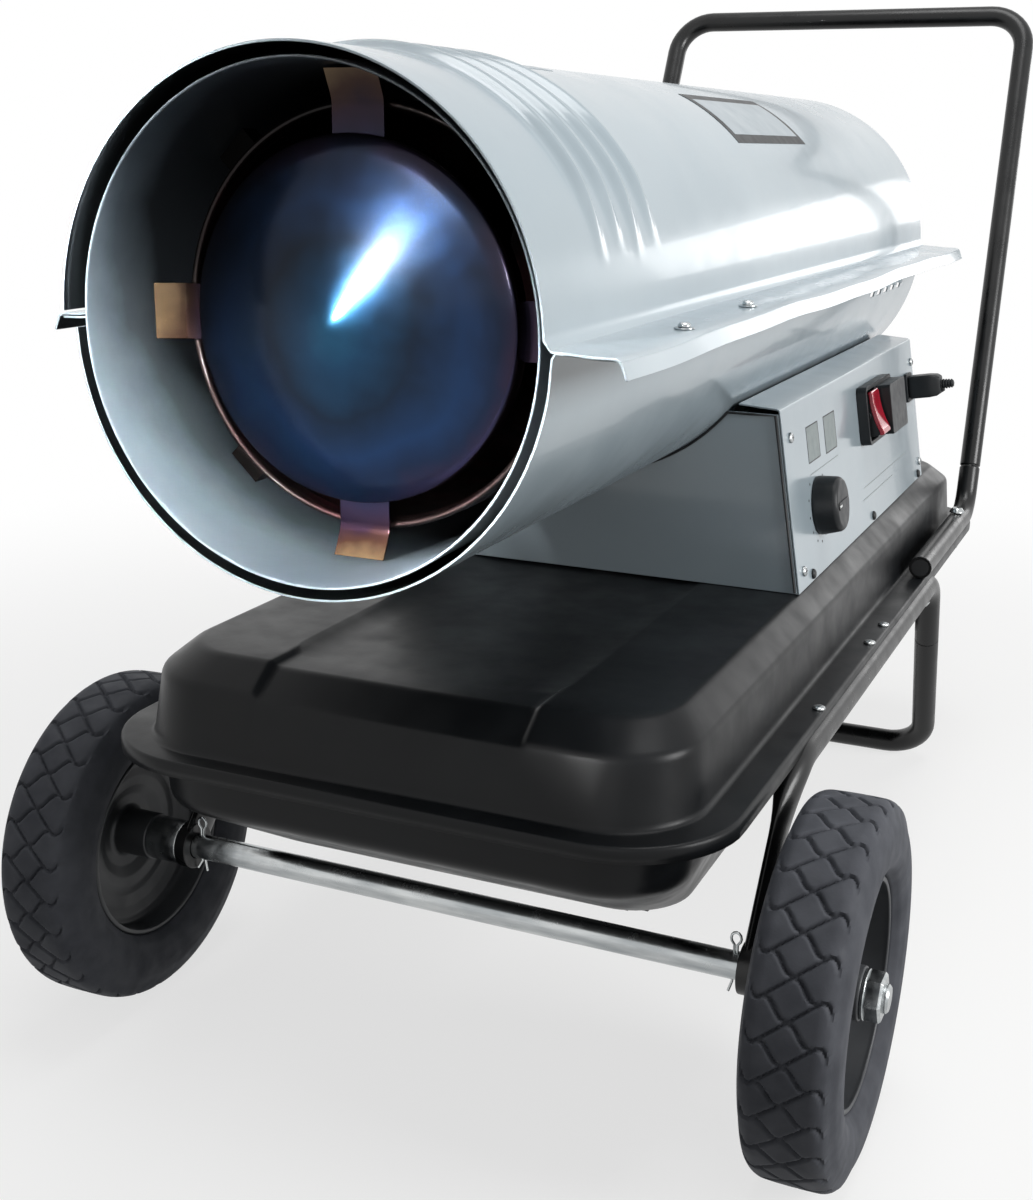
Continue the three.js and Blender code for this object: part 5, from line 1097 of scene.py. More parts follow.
# %% [markdown]
# ## Filler, gauge and drain plug
#
# Behind the control box a threaded neck stands on the tank, with a brass strainer in it and a black cap. The
# cap has twelve finger grooves. The gauge beside it is a short drum with a clear dome over a white dial with
# tick marks and a red pointer.

# %% Filler neck and cap
neck_top = filler_high.z
NECK_BORE, NECK_RADIUS, NECK_FOOT = 20.5, 22, 28
neck_profile = [
    (NECK_BORE, TANK_TOP + GAP), (NECK_FOOT, TANK_TOP + GAP), (NECK_FOOT, TANK_TOP + 1.8),
    (NECK_RADIUS + 0.6, TANK_TOP + 2.6), (NECK_RADIUS, TANK_TOP + 6), (NECK_RADIUS, neck_top),
    (NECK_BORE, neck_top)]
make_piece("filler_collar", shifted(turned_ring(neck_profile, 0.6, 2, 64, ALONG_Z), *FILLER, 0),
           tank_enamel, "filler_neck", sharp=50)

cap_low, cap_high = box_mm("fuel_cap")
cap_roof = cap_high.z - 5
GROOVES, GROOVE_SHARE = 12, 0.075
CAP_RADIUS, CAP_BORE = 29, 26.5


def finger_grooves(angle, along):
    """Twelve shallow scallops round the cap's skirt, none on its crown."""
    wave = max(0.0, math.cos(GROOVES * angle)) ** 3
    return 1 - GROOVE_SHARE * wave * (1 - ease(along, cap_high.z - 6, cap_high.z - 1.5))


cap_profile = rounded([
    (0, cap_high.z - 0.8), (16, cap_high.z - 0.8), (17.5, cap_high.z), (25.5, cap_high.z),
    (CAP_RADIUS, cap_high.z - 4), (CAP_RADIUS, cap_low.z + 1), (CAP_RADIUS - 0.6, cap_low.z),
    (CAP_BORE, cap_low.z), (CAP_BORE, cap_roof), (0, cap_roof)], 1.2, 3)
make_piece("filler_cap_grip", shifted(turned(cap_profile, 144, sides=finger_grooves), *FILLER, 0),
           black_plastic, "fuel_cap", sharp=45)
print("cap over the neck at", [round(v, 1) for v in FILLER])

# %% Fuel gauge
gauge_low, gauge_high = box_mm("fuel_gauge")
GAUGE = plan_centre(gauge_low, gauge_high)
gauge_top = gauge_high.z
GAUGE_RADIUS, DIAL_RADIUS = 19, 14.8
bezel = rounded([
    (0, TANK_TOP + GAP), (GAUGE_RADIUS, TANK_TOP + GAP), (GAUGE_RADIUS, gauge_top - 2),
    (GAUGE_RADIUS - 1.5, gauge_top), (15.5, gauge_top), (15, gauge_top - 2.5), (0, gauge_top - 2.5)], 0.8, 2)
stem = band(0, 7, gauge_low.z, TANK_TOP + 1)
make_piece("gauge_body", shifted(together(turned(bezel, 64), turned(stem, 24)), *GAUGE, 0),
           black_plastic, "fuel_gauge", sharp=40)
dial = turned(band(0, DIAL_RADIUS, gauge_top - 2.4, gauge_top - 2.1), 48)
make_piece("gauge_dial", shifted(dial, *GAUGE, 0), dial_white)
TICK_COUNT, TICK_RING, TICK_HALF = 9, 13, 0.35
ticks = []
for i in range(TICK_COUNT):
    spin = Matrix.Rotation(math.radians(-60 + 15 * i), 4, "Z")
    start = TICK_RING - (4 if i % 4 == 0 else 2.4)
    tick = block(-TICK_HALF, TICK_HALF, start, TICK_RING, gauge_top - 2.15, gauge_top - 1.95)
    ticks.append(placed(tick, spin))
make_piece("gauge_ticks", shifted(together(*ticks), *GAUGE, 0), label_ink)
pointer = [(-1.0, -2.5), (1.0, -2.5), (0.35, 10.5), (-0.35, 10.5)]
hand = placed(plate(pointer, gauge_top - 1.7, gauge_top - 1.2), Matrix.Rotation(0.5, 4, "Z"))
make_piece("gauge_pointer", shifted(hand, *GAUGE, 0), red_lens)
print("gauge at", [round(v, 1) for v in GAUGE])

# %% Drain plug
PLUG_FLANGE = 1.55


def hexagon(angle, along):
    """A hexagon instead of a circle: its flats lie inside the corner radius."""
    return math.cos(math.pi / 6) / math.cos((angle + math.pi / 6) % (math.pi / 3) - math.pi / 6)


drain_seat = drain_high.z - 10
plug_head = turned(
    [(0, drain_low.z + 0.4), (9.2, drain_low.z), (11, drain_low.z + 1.2), (11, drain_seat - 1.6),
     (13, drain_seat - 1.5), (13, drain_seat), (0, drain_seat)], 48,
    sides=lambda angle, along: 1.0 if along > drain_seat - PLUG_FLANGE else hexagon(angle, along))
plug_stem = turned(band(0, 7, drain_seat, drain_high.z), 24)
make_piece("drain_plug_bolt", shifted(together(plug_head, plug_stem), *SUMP, 0), zinc_plate, "drain_plug",
           bevel=0.3)
print("drain plug under the sump at", [round(v, 1) for v in SUMP])


# %% [markdown]
# ## Tube work
#
# Rails, stand and handle are steel tube, bent cold, so every bend is a clean arc. A rail's front end is
# pressed flat to a lug for the axle, and behind it bends down to the stand. A tube here follows its line of
# bends; the rail also changes its section from a circle to a flat oval near the axle.

# %% Rails
TUBE_RADIUS, TUBE_SIDES = 10, 28
RAIL_X, LUG_X, RAIL_Z = 183, 185, 197.4
AXLE_Y, AXLE_Z = -367.5, 105
LUG_HALF, LUG_RADIUS = 4, 15
AXLE_RADIUS = 8
AXLE_BORE = AXLE_RADIUS + GAP
RAIL_LEG = 70
RAIL_SETBACK, RAIL_BEND = 678, 40
STAND_SETBACK, STAND_HALF_WIDTH, STAND_BEND = 790, 173, 36
rear_bend = Vector((RAIL_X, DRUM_FRONT + RAIL_SETBACK, RAIL_Z))
stand_foot = Vector((STAND_HALF_WIDTH, DRUM_FRONT + STAND_SETBACK, TUBE_RADIUS))
leg_heading = (stand_foot - rear_bend).normalized()


def rail_section(share):
    """Round, but pressed flat from the front bend down to the axle."""
    flat = ease(share, 0.8, 0.88)
    return TUBE_RADIUS + (LUG_HALF - TUBE_RADIUS) * flat, TUBE_RADIUS + 4 * flat


def spaced(line, step):
    """The same line with extra points, no more than `step` apart."""
    dense = [line[0]]
    for a, b in zip(line, line[1:]):
        parts = max(1, math.ceil((b - a).length / step))
        dense += [a.lerp(b, k / parts) for k in range(1, parts + 1)]
    return dense


rail_line = bent_path([rear_bend + leg_heading * RAIL_LEG, rear_bend, (RAIL_X, AXLE_Y + 81.5, RAIL_Z),
                       (LUG_X, AXLE_Y, AXLE_Z)], RAIL_BEND)
rail_pipe = tube(spaced(rail_line, 8), rail_section, TUBE_SIDES)
lug = turned(band(AXLE_BORE, LUG_RADIUS, LUG_X - LUG_HALF, LUG_X + LUG_HALF), 48, ALONG_X, closed=True)
rail_shape = together(rail_pipe, shifted(lug, 0, AXLE_Y, AXLE_Z))
make_pair(("rail", rail_shape, powder_coat, "frame_rail"), bevel=0.6)
print("rails from", [round(v, 1) for v in rail_line[0]], "to the axle")

# %% Stand
stand_leg = [rear_bend + leg_heading * (RAIL_LEG + GAP), stand_foot]
stand_line = bent_path([(-x, y, z) for x, y, z in stand_leg] + stand_leg[::-1], STAND_BEND)
make_piece("stand_tube", tube(stand_line, TUBE_RADIUS, TUBE_SIDES, up=(0, 1, 0)), powder_coat, "rear_stand",
           bevel=0.3)
print("stand down to y", round(stand_foot.y, 1))

# %% [markdown]
# The handle's arms lie on the flange, open in front and closed there with a plastic plug. A little above
# the bend the loop is pushed into the arm: a fine dark joint runs round the tube.

# %% Handle
HANDLE_RADIUS = 9
ARM_LENGTH, HANDLE_HALF_WIDTH, HANDLE_BEND = 218, 172, 34
JOINT_SHARE, JOINT_REACH, JOINT_DEPTH = 0.089, 0.8, 0.9
handle_low, handle_high = box_mm("push_handle")
ARM_Z = FLANGE_Z + GAP + HANDLE_RADIUS
HANDLE_FOOT = Vector((RAIL_X, handle_low.y + ARM_LENGTH, ARM_Z))
HANDLE_TOP = Vector((HANDLE_HALF_WIDTH, handle_high.y - HANDLE_RADIUS, handle_high.z - HANDLE_RADIUS))
joint = HANDLE_FOOT.lerp(HANDLE_TOP, JOINT_SHARE)
rise = (HANDLE_TOP - HANDLE_FOOT).normalized()
handle_half = [Vector((RAIL_X, handle_low.y, ARM_Z)), HANDLE_FOOT, HANDLE_TOP]
handle_line = bent_path([(-x, y, z) for x, y, z in handle_half] + handle_half[::-1], HANDLE_BEND)
joint_points = [joint + rise * step for step in (1.3, 0.5, -0.5, -1.3)]
right_points = [i for i, point in enumerate(handle_line) if point.x > 0]
first = min(right_points, key=lambda i: (handle_line[i] - joint).length)
first += 0 if handle_line[first].z < joint.z else 1
second = len(handle_line) - first
handle_line = (handle_line[:second] + [Vector((-x, y, z)) for x, y, z in reversed(joint_points)]
               + handle_line[second:first] + joint_points + handle_line[first:])
handle_lengths = run_lengths(handle_line)
joint_shares = set()
for point, run in zip(handle_line, handle_lengths):
    away = (Vector((abs(point.x), point.y, point.z)) - joint).length
    if away < JOINT_REACH:
        joint_shares.add(round(run / handle_lengths[-1], 6))


def handle_section(share):
    """The tube's radii, less at the joint's groove."""
    radius = HANDLE_RADIUS - (JOINT_DEPTH if round(share, 6) in joint_shares else 0)
    return radius, radius


make_piece("handle_tube", tube(handle_line, handle_section, TUBE_SIDES, up=(1, 0, 0)), powder_coat,
           "push_handle", bevel=0.8)
arm_plugs = []
for side in (1, -1):
    arm_plug = turned([(0, 2.2), (5.2, 2.0), (6.6, 0.4), (6.8, -0.9), (0, -0.9)], 32, ALONG_Y)
    arm_plugs.append(placed(mirrored(arm_plug) if side < 0 else arm_plug,
                            Matrix.Translation((side * RAIL_X, handle_low.y, ARM_Z))))
make_piece("arm_plugs", together(*arm_plugs), hose_rubber)
print("handle up to z", round(handle_high.z, 1))

# %% [markdown]
# Two bolts hold each arm. The front one comes up from under the rail and ends inside the arm, the rear one
# goes down through the arm and the flange.

# %% Handle bolts
HEAD_RADIUS, HEAD_HEIGHT = 6.5, 5
for name in ("handle_bolt_left_front", "handle_bolt_left_rear", "handle_bolt_right_front",
             "handle_bolt_right_rear"):
    bolt_low, bolt_high = box_mm(name)
    x, y = plan_centre(bolt_low, bolt_high)
    up = name.endswith("rear")
    step = 1 if up else -1
    crown_z, far_end = (bolt_high.z, bolt_low.z) if up else (bolt_low.z, bolt_high.z)
    seat = crown_z - HEAD_HEIGHT * step
    head = rounded([(0, crown_z), (4, crown_z - 0.6 * step), (HEAD_RADIUS, seat + step), (HEAD_RADIUS, seat),
                    (0, seat)], 1.0, 3)
    shank = [(0, far_end), (2.4, far_end), (3, far_end + 0.6 * step), (3, seat + 0.5 * step),
             (0, seat + 0.5 * step)]
    shape = together(turned(head, 32), turned(shank, 20))
    make_piece(name.replace("handle_bolt", "dome_bolt"), shifted(shape, x, y, 0), zinc_plate, name)
print("four dome bolts")


# %% [markdown]
# ## Axle and wheels
#
# The axle is a zinc-plated bar through both lugs. Cotter pins stop it from sliding, and a nut with a washer
# holds each wheel. A cotter pin is a half-round wire, folded: an eye on top and two legs spread below.

# %% Axle, spacers, nuts and pins
axle_low, axle_high = box_mm("axle")
SPACER_RADIUS, WASHER_SHEET, NUT_CORNER = 14, 2, 13.86
axle_profile = [(0, axle_low.x), (6.8, axle_low.x), (AXLE_RADIUS, axle_low.x + 1.2),
                (AXLE_RADIUS, axle_high.x - 1.2), (6.8, axle_high.x), (0, axle_high.x)]
axle_place = Matrix.Translation((0, AXLE_Y, AXLE_Z))
make_piece("axle_bar", placed(turned(axle_profile, 48, ALONG_X), axle_place), zinc_plate, "axle", sharp=30)


spacer_low, spacer_high = box_mm("hub_spacer_right")
spacer = turned_ring(band(AXLE_BORE, SPACER_RADIUS, spacer_low.x, spacer_high.x), 0.6, 2, 48, ALONG_X)
nut_low, nut_high = box_mm("axle_nut_right")
nut_seat = nut_low.x + WASHER_SHEET
washer = turned_ring(band(AXLE_BORE, SPACER_RADIUS, nut_low.x, nut_seat), 0.4, 2, 48, ALONG_X)
nut_line = [(AXLE_BORE, nut_seat), (NUT_CORNER, nut_seat), (NUT_CORNER, nut_high.x - 1.4), (12.6, nut_high.x),
            (AXLE_BORE, nut_high.x)]
nut = turned(nut_line, 48, ALONG_X, closed=True, sides=hexagon)
make_pair(("spacer_tube", placed(spacer, axle_place), zinc_plate, "hub_spacer"),
          ("hex_nut", placed(together(washer, nut), axle_place), zinc_plate, "axle_nut"), bevel=0.3)
print("axle", round(axle_high.x - axle_low.x, 1), "mm long")

# %% Cotter pins
pin_low, pin_high = box_mm("cotter_pin_right")
pin_x = (pin_low.x + pin_high.x) / 2
eye_z = pin_high.z - 4.6
pin_line = [Vector((pin_x - 3.0, AXLE_Y - 1.0, pin_low.z + 0.9)), Vector((pin_x - 1.2, AXLE_Y, AXLE_Z - 10)),
            Vector((pin_x - 0.8, AXLE_Y, AXLE_Z)), Vector((pin_x - 0.9, AXLE_Y, eye_z - 4))]
pin_line += [Vector((pin_x - 2.9 * math.cos(a), AXLE_Y, eye_z + 3.6 * math.sin(a)))
             for a in (math.radians(step) for step in range(-30, 211, 30))]
pin_line += [Vector((pin_x + 0.9, AXLE_Y, eye_z - 4)), Vector((pin_x + 0.8, AXLE_Y, AXLE_Z)),
             Vector((pin_x + 1.2, AXLE_Y, AXLE_Z - 10)), Vector((pin_x + 3.4, AXLE_Y - 2, pin_low.z + 2.5))]
pin_shape = tube(pin_line, 0.8, 10, up=(0, 1, 0))
make_pair(("split_pin", pin_shape, zinc_plate, "cotter_pin"), sharp=60)
print("split pins at x", round(pin_x, 1))


# %% [markdown]
# ### Tyres
#
# The tread is cut by two families of grooves that cross and leave diamonds, about 22 mm round the tyre and
# 26 mm across. One family is bent to an S. At both shoulders a groove ends in a hook that turns back. The
# surface is a fine grid round the tyre, and each of its points is pushed in by the grooves nearby, so the
# tread is real shape. The side walls are smooth, with one raised ring.

# %% Tread
tyre_low, tyre_high = box_mm("tyre_right")
WHEEL_X = (tyre_low.x + tyre_high.x) / 2
WHEEL_RADIUS = 105
TYRE_HALF, TREAD_HALF = 23, 21.5
RIM_RADIUS = 64
TREAD_REPEATS = 30
TREAD_STEPS = 600
TREAD_COLUMNS = 46
GROOVE_DEPTH = 2.2
CROSSING = 13.2
PLAIN_SLOPE, WAVY_SLOPE, WAVE, HOOK_BEND = 0.84, 0.82, 1.3, 0.026
PITCH = 2 * math.pi * WHEEL_RADIUS / TREAD_REPEATS


def groove_lines(u):
    """Where grooves cross this place, u millimetres from the tread's middle, and how steep each is there."""
    if abs(u) <= CROSSING:
        wave = WAVE * math.sin(2 * math.pi * u / CROSSING)
        slope = WAVE * 2 * math.pi / CROSSING * math.cos(2 * math.pi * u / CROSSING)
        return [(-WAVY_SLOPE * u + wave, -WAVY_SLOPE + slope), (PLAIN_SLOPE * u, PLAIN_SLOPE)]
    t = abs(u) - CROSSING
    hook = PLAIN_SLOPE * t - HOOK_BEND * t ** 3
    start = PLAIN_SLOPE * CROSSING
    return [(math.copysign(start + hook, u), PLAIN_SLOPE - 3 * HOOK_BEND * t * t)]


def groove_depth(u, v):
    """How deep the tread is cut at u across and v round, in millimetres."""
    deepest = 0.0
    for place, slope in groove_lines(u):
        offset = (v - place + PITCH / 2) % PITCH - PITCH / 2
        distance = abs(offset) / math.sqrt(1 + slope * slope)
        deepest = max(deepest, 1 - ease(distance, 0.35, 1.35))
    return GROOVE_DEPTH * deepest * (1 - ease(abs(u), TREAD_HALF - 2, TREAD_HALF))


SHOULDER = 9
tread_us = steps_between(-TREAD_HALF, TREAD_HALF, TREAD_COLUMNS)


def crown(u):
    """The tread's radius across the tyre: nearly flat, and round at the shoulders."""
    over = max(0.0, abs(u) - (TYRE_HALF - SHOULDER))
    return WHEEL_RADIUS - 0.0016 * u * u - (SHOULDER - math.sqrt(max(0.0, SHOULDER ** 2 - over ** 2))) * 0.8


side_wall = rounded([
    (crown(tread_us[-1]), tread_us[-1]), (96, TYRE_HALF + 0.2), (91, TYRE_HALF + 2.2), (84, TYRE_HALF + 3),
    (76, TYRE_HALF + 2.6), (69, TYRE_HALF + 0.4), (66.5, 21), (RIM_RADIUS + 0.4, 19)], 1.5, 2)
rings = []
for k in range(TREAD_STEPS):
    angle = 2 * math.pi * k / TREAD_STEPS
    v = angle * WHEEL_RADIUS
    section = [(crown(u) - groove_depth(u, v), u) for u in tread_us]
    section += side_wall[1:]
    section += [(RIM_RADIUS + 0.4, 0)]
    section += [(r, -along) for r, along in reversed(side_wall[1:])]
    rings.append([(WHEEL_X + along, AXLE_Y + r * math.sin(angle), AXLE_Z + r * math.cos(angle))
                  for r, along in section])
make_pair(("tyre_tread", skin(rings, loop=True), tyre_rubber, "tyre"), sharp=50)
print("tread of", TREAD_REPEATS, "repeats,", round(PITCH, 1), "mm each")


# %% [markdown]
# ### Rims
#
# A rim is pressed from two discs: a flat-bottomed channel that carries the tyre, with a curled edge, and a
# dished disc with a hub tube in it. A ring is pressed into the disc to stiffen it.

# %% Rims
rim_profile = [
    (AXLE_BORE, -18), (15, -18), (15, 5.5), (17.5, 7.2), (24, 6.6), (31, 2.8), (37, 1.6), (43, 2.2),
    (50, 0.4), (56, -2.4), (60, -3), (61, -5), (61, -17), (60.4, -19), (62.4, -19.4), (RIM_RADIUS, -18.4),
    (RIM_RADIUS, 18.4), (62.4, 19.4), (60.4, 19), (61, 17), (61, 2), (58, 0.6), (51, 3.4), (44, 5.4),
    (37, 4.8), (31.5, 6), (25, 9.6), (18, 10.4), (15, 10.4), (15, 18), (AXLE_BORE, 18)]
rim_shape = shifted(turned_ring(rim_profile, 1.1, 3, 96, ALONG_X), WHEEL_X, AXLE_Y, AXLE_Z)
make_pair(("rim_disc", rim_shape, rim_enamel, "wheel_rim"), sharp=55)
print("rims of radius", RIM_RADIUS)


# %% [markdown]
# ## Control box
#
# The box is a folded panel on each side, tilted inwards, and a wall at each end that is cut to the drum's
# curve. The right panel carries the controls. Its frame has x out of the panel, y along the box and z up the
# slope, so a control is drawn at the place that one would measure with a ruler on the panel.

# %% The panels' frames
PANEL_TILT = 0.1665
PANEL_SHEET = 1.2
box_low, box_high = box_mm("control_panel")
BOX_LENGTH = box_high.y - box_low.y
BOX_FLOOR = TANK_TOP + GAP
BOX_HEIGHT = 119
PANEL_HEIGHT = BOX_HEIGHT / math.cos(PANEL_TILT)
BOX_HALF_WIDTH = 151
panel_right = (Matrix.Translation((BOX_HALF_WIDTH, box_front, BOX_FLOOR))
               @ Matrix.Rotation(-PANEL_TILT, 4, "Y"))
panel_left = (Matrix.Translation((-BOX_HALF_WIDTH, box_front, BOX_FLOOR))
              @ Matrix.Rotation(PANEL_TILT, 4, "Y"))
SWITCH = (208, 300, 62, 106)
SWITCH_WALL = 3
SOCKET = (398, 82)
SOCKET_ROOM = 9
LEDGE = 27


def panel_shape(holes):
    """Face, ledge under the drum and two turned-in edges; holes are (y0, y1, z0, z1)."""
    ys = sorted({0, BOX_LENGTH, *steps_between(0, BOX_LENGTH, 10), *(y for hole in holes for y in hole[:2])})
    zs = sorted({0, PANEL_HEIGHT, *(z for hole in holes for z in hole[2:])})
    fold = Matrix.Rotation(PANEL_TILT + math.atan2(2, LEDGE), 4, "Y")

    def line(y, depth):
        points = [(-depth, y, z) for z in zs[:-1]]
        points += [(-depth, y, PANEL_HEIGHT - 2 * PANEL_SHEET), (-0.35 * PANEL_SHEET - depth * 0.8, y,
                   PANEL_HEIGHT - 0.35 * PANEL_SHEET - depth * 0.5)]
        for reach in (2 * PANEL_SHEET, LEDGE):
            edge = fold @ Vector((-reach, 0, -depth))
            points.append((edge.x, y, PANEL_HEIGHT + edge.z))
        return points

    def keep(row, column):
        middle_y = (ys[row] + ys[row + 1]) / 2
        if column >= len(zs) - 1:
            return True
        middle_z = (zs[column] + zs[column + 1]) / 2
        return not any(y0 < middle_y < y1 and z0 < middle_z < z1 for y0, y1, z0, z1 in holes)

    return sheet_body([line(y, 0) for y in ys], [line(y, PANEL_SHEET) for y in ys], keep=keep)


y0, y1, z0, z1 = SWITCH
switch_hole = (y0 + SWITCH_WALL, y1 - SWITCH_WALL, z0 + SWITCH_WALL, z1 - SWITCH_WALL)
socket_y, socket_z = SOCKET
socket_hole = (socket_y - SOCKET_ROOM, socket_y + SOCKET_ROOM, socket_z - SOCKET_ROOM, socket_z + SOCKET_ROOM)
make_piece("control_panel_sheet", placed(panel_shape((switch_hole, socket_hole)), panel_right),
           shell_enamel, "control_panel", bevel=0.4, sharp=30)
make_piece("left_cover_sheet", placed(mirrored(panel_shape(())), panel_left), shell_enamel, "left_cover",
           bevel=0.4, sharp=30)
print("panels", round(BOX_LENGTH), "by", round(PANEL_HEIGHT, 1), "mm")


# %% [markdown]
# The end walls follow the drum on top. Where the front wall meets the drum, a black edge trim is pushed over
# the cut sheet, so that it doesn't scratch the enamel. It shows as a thin black line round the wall.

# %% End walls and edge trim
front_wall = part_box("box_front_wall")
WALL_TOP = front_wall[1].z / MM
WALL_HALF_FOOT = front_wall[1].x / MM
WALL_HALF_HEAD = WALL_HALF_FOOT - (WALL_TOP - BOX_FLOOR) * math.tan(PANEL_TILT)
CUT_RADIUS = DRUM_RADIUS + GAP
cut_half = math.sqrt(CUT_RADIUS ** 2 - (DRUM_AXIS - WALL_TOP) ** 2)
wall_xs = ([-WALL_HALF_HEAD, -(WALL_HALF_HEAD + cut_half) / 2]
           + [cut_half * math.sin(math.radians(step)) for step in range(-90, 91, 4)]
           + [(WALL_HALF_HEAD + cut_half) / 2, WALL_HALF_HEAD])


def wall_top(x):
    if abs(x) >= cut_half:
        return WALL_TOP
    return DRUM_AXIS - math.sqrt(CUT_RADIUS ** 2 - x * x)


def wall_shape(y0, y1):
    grids = []
    for y in (y0, y1):
        foot = [(x * WALL_HALF_FOOT / WALL_HALF_HEAD, y, BOX_FLOOR) for x in wall_xs]
        grids.append([foot, [(x, y, wall_top(x)) for x in wall_xs]])
    return sheet_body(*grids)


for wall_end, wall_box in (("front", front_wall), ("rear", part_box("box_rear_wall"))):
    make_piece(f"{wall_end}_wall_sheet", wall_shape(wall_box[0].y / MM, wall_box[1].y / MM), shell_enamel,
               f"box_{wall_end}_wall", bevel=0.3)

TRIM_HALF = 0.8
trim_y = front_wall[0].y / MM - TRIM_HALF
foot_in, head_in = WALL_HALF_FOOT - 2 * TRIM_HALF, WALL_HALF_HEAD - 2 * TRIM_HALF
trim_places = ([(-foot_in, BOX_FLOOR + 1), (-head_in, WALL_TOP - TRIM_HALF)]
               + [(x, wall_top(x) - TRIM_HALF) for x in wall_xs[1:-1]]
               + [(head_in, WALL_TOP - TRIM_HALF), (foot_in, BOX_FLOOR + 1)])
trim_line = [Vector((x, trim_y, z)) for x, z in trim_places]
make_piece("edge_trim", tube(trim_line, TRIM_HALF, 12, up=(0, 1, 0)), hose_rubber, sharp=60)
print("end walls cut to radius", CUT_RADIUS)


# %% [markdown]
# ### Knob
#
# The thermostat's knob is a plain black drum that narrows a little outwards. Its face is dished, with a low
# bar across it and a white line on the pointing end. Small dots are printed round it on the panel.

# %% Knob
KNOB = (70, 45)
KNOB_RADIUS, KNOB_HEIGHT = 20, 17.2
GRIP_HALF = (2.6, 14)
knob_place = panel_right @ Matrix.Translation((0, *KNOB))
knob_profile = rounded([(0, GAP), (KNOB_RADIUS, GAP), (KNOB_RADIUS, 3), (18.6, 14.8),
                        (16.6, KNOB_HEIGHT), (0, KNOB_HEIGHT - 0.6)], 1.2, 3)
grip = plate(round_corners(*GRIP_HALF, 2.4), 14, KNOB_HEIGHT + 0.6)
knob_shape = placed(together(turned(knob_profile, 128), grip), ALONG_X)
make_piece("knob_grip", placed(knob_shape, knob_place), black_plastic, "thermostat_knob", bevel=0.5, sharp=40)
mark = placed(block(-0.7, 0.7, -13, -7, KNOB_HEIGHT + 0.5, KNOB_HEIGHT + 0.75), ALONG_X)
make_piece("knob_mark", placed(mark, knob_place), dial_white, body="knob")
DOT_COUNT, DOT_RING, DOT_RADIUS, INK = 11, 25, 0.9, 0.12
dots = []
for i in range(DOT_COUNT):
    angle = math.radians(-135 + 270 / (DOT_COUNT - 1) * i)
    dot = turned(band(0, DOT_RADIUS, 0, INK), 12)
    dots.append(shifted(dot, DOT_RING * math.cos(angle), DOT_RING * math.sin(angle), 0))
make_piece("dial_dots", placed(placed(together(*dots), ALONG_X), knob_place), label_ink)
print("knob at", KNOB, "on the panel")


# %% [markdown]
# ### Switch and its housing
#
# One black housing snaps into the panel. Its left half is a well with the rocker, its right half is a blank
# cap for an option that this heater doesn't have. The rocker is black with a red lens on its hollow face.

# %% Switch housing and rocker
SWITCH_REACH = 8
ROCKER_HALF = 13
ROCKER_SHIFT = 0.75
ROCKER_ALONG = y0 + SWITCH_WALL + GAP + ROCKER_HALF + ROCKER_SHIFT
ROCKER_UP = (z0 + z1) / 2
ROCKER_AXIS = SWITCH_REACH - 2
ROCKER_TILT = 0.21


def ring_frame(outline_out, outline_in, low, high):
    """A frame between two outlines of equally many points."""
    levels = [[(x, y, low) for x, y in outline_out], [(x, y, high) for x, y in outline_out],
              [(x, y, high) for x, y in outline_in], [(x, y, low) for x, y in outline_in]]
    return skin(levels, loop=True)


def across_panel(shape, y, z):
    """From a drawing with x up the slope, y along the panel and z out of it."""
    turn = Matrix(((0, 0, 1), (0, 1, 0), (1, 0, 0))).to_4x4()
    return placed(shape, panel_right @ Matrix.Translation((0, y, z)) @ turn)


half_up, half_along = (z1 - z0) / 2, (y1 - y0) / 2
middle_along = (y0 + y1) / 2
well_half_along = ROCKER_HALF + GAP
well_offset = ROCKER_ALONG - ROCKER_SHIFT - middle_along
outline_out = round_corners(half_up, half_along, 5)
well_in = [(x, y + well_offset) for x, y in round_corners(half_up - SWITCH_WALL, well_half_along, 2)]
collar = ring_frame(outline_out, well_in, GAP, SWITCH_REACH)
well_out = [(x, y + well_offset) for x, y in round_corners(half_up - 2, well_half_along + 1, 2)]
well_wall = ring_frame(well_out, well_in, -14, 1)
well_floor = plate(well_out, -16, -13.8)
cap_front = ROCKER_ALONG + ROCKER_HALF + SWITCH_WALL - middle_along
cap_rear = half_along - SWITCH_WALL
cap_outline = round_corners(half_up - SWITCH_WALL, (cap_rear - cap_front) / 2, 2.5)
cap_body = shifted(plate(cap_outline, SWITCH_REACH - 1, SWITCH_REACH + 11), 0, (cap_rear + cap_front) / 2, 0)
housing = together(collar, well_wall, well_floor, cap_body)
make_piece("switch_collar", across_panel(housing, middle_along, ROCKER_UP), black_plastic, "switch_housing",
           bevel=0.9, segments=3)

ROCKER_HALF_UP, LENS_HEIGHT, LENS_HOLLOW = 17, 9.2, 1.9
rocker_line = [(ROCKER_HALF_UP * s, LENS_HEIGHT - LENS_HOLLOW * (1 - s * s) - 0.9 * ease(abs(s), 0.86, 1.0))
               for s in steps_between(-1, 1, 16)]
lens_outline = rocker_line + [(x * 0.99, height - 3.6) for x, height in reversed(rocker_line)]
body_outline = [(-16.2, -4.5)] + [(x * 0.965, height - 2.4) for x, height in rocker_line] + [(16.2, -4.5)]
ROCKER_PLACE = (panel_right @ Matrix.Translation((ROCKER_AXIS, ROCKER_ALONG, ROCKER_UP))
                @ Matrix.Rotation(-ROCKER_TILT, 4, "Y"))
rocker_frame = Matrix(((0, 1, 0), (0, 0, 1), (1, 0, 0))).to_4x4()
make_piece("rocker_lens", placed(plate(lens_outline, -11.5, 11.5), ROCKER_PLACE @ rocker_frame), red_lens,
           "rocker_switch", bevel=0.8, segments=3)
PIN_RADIUS, PIN_REACH = 2.8, 12.2
pins = turned(band(0, PIN_RADIUS, -PIN_REACH, PIN_REACH), 24)
rocker_body = together(plate(body_outline, -11, 11), pins)
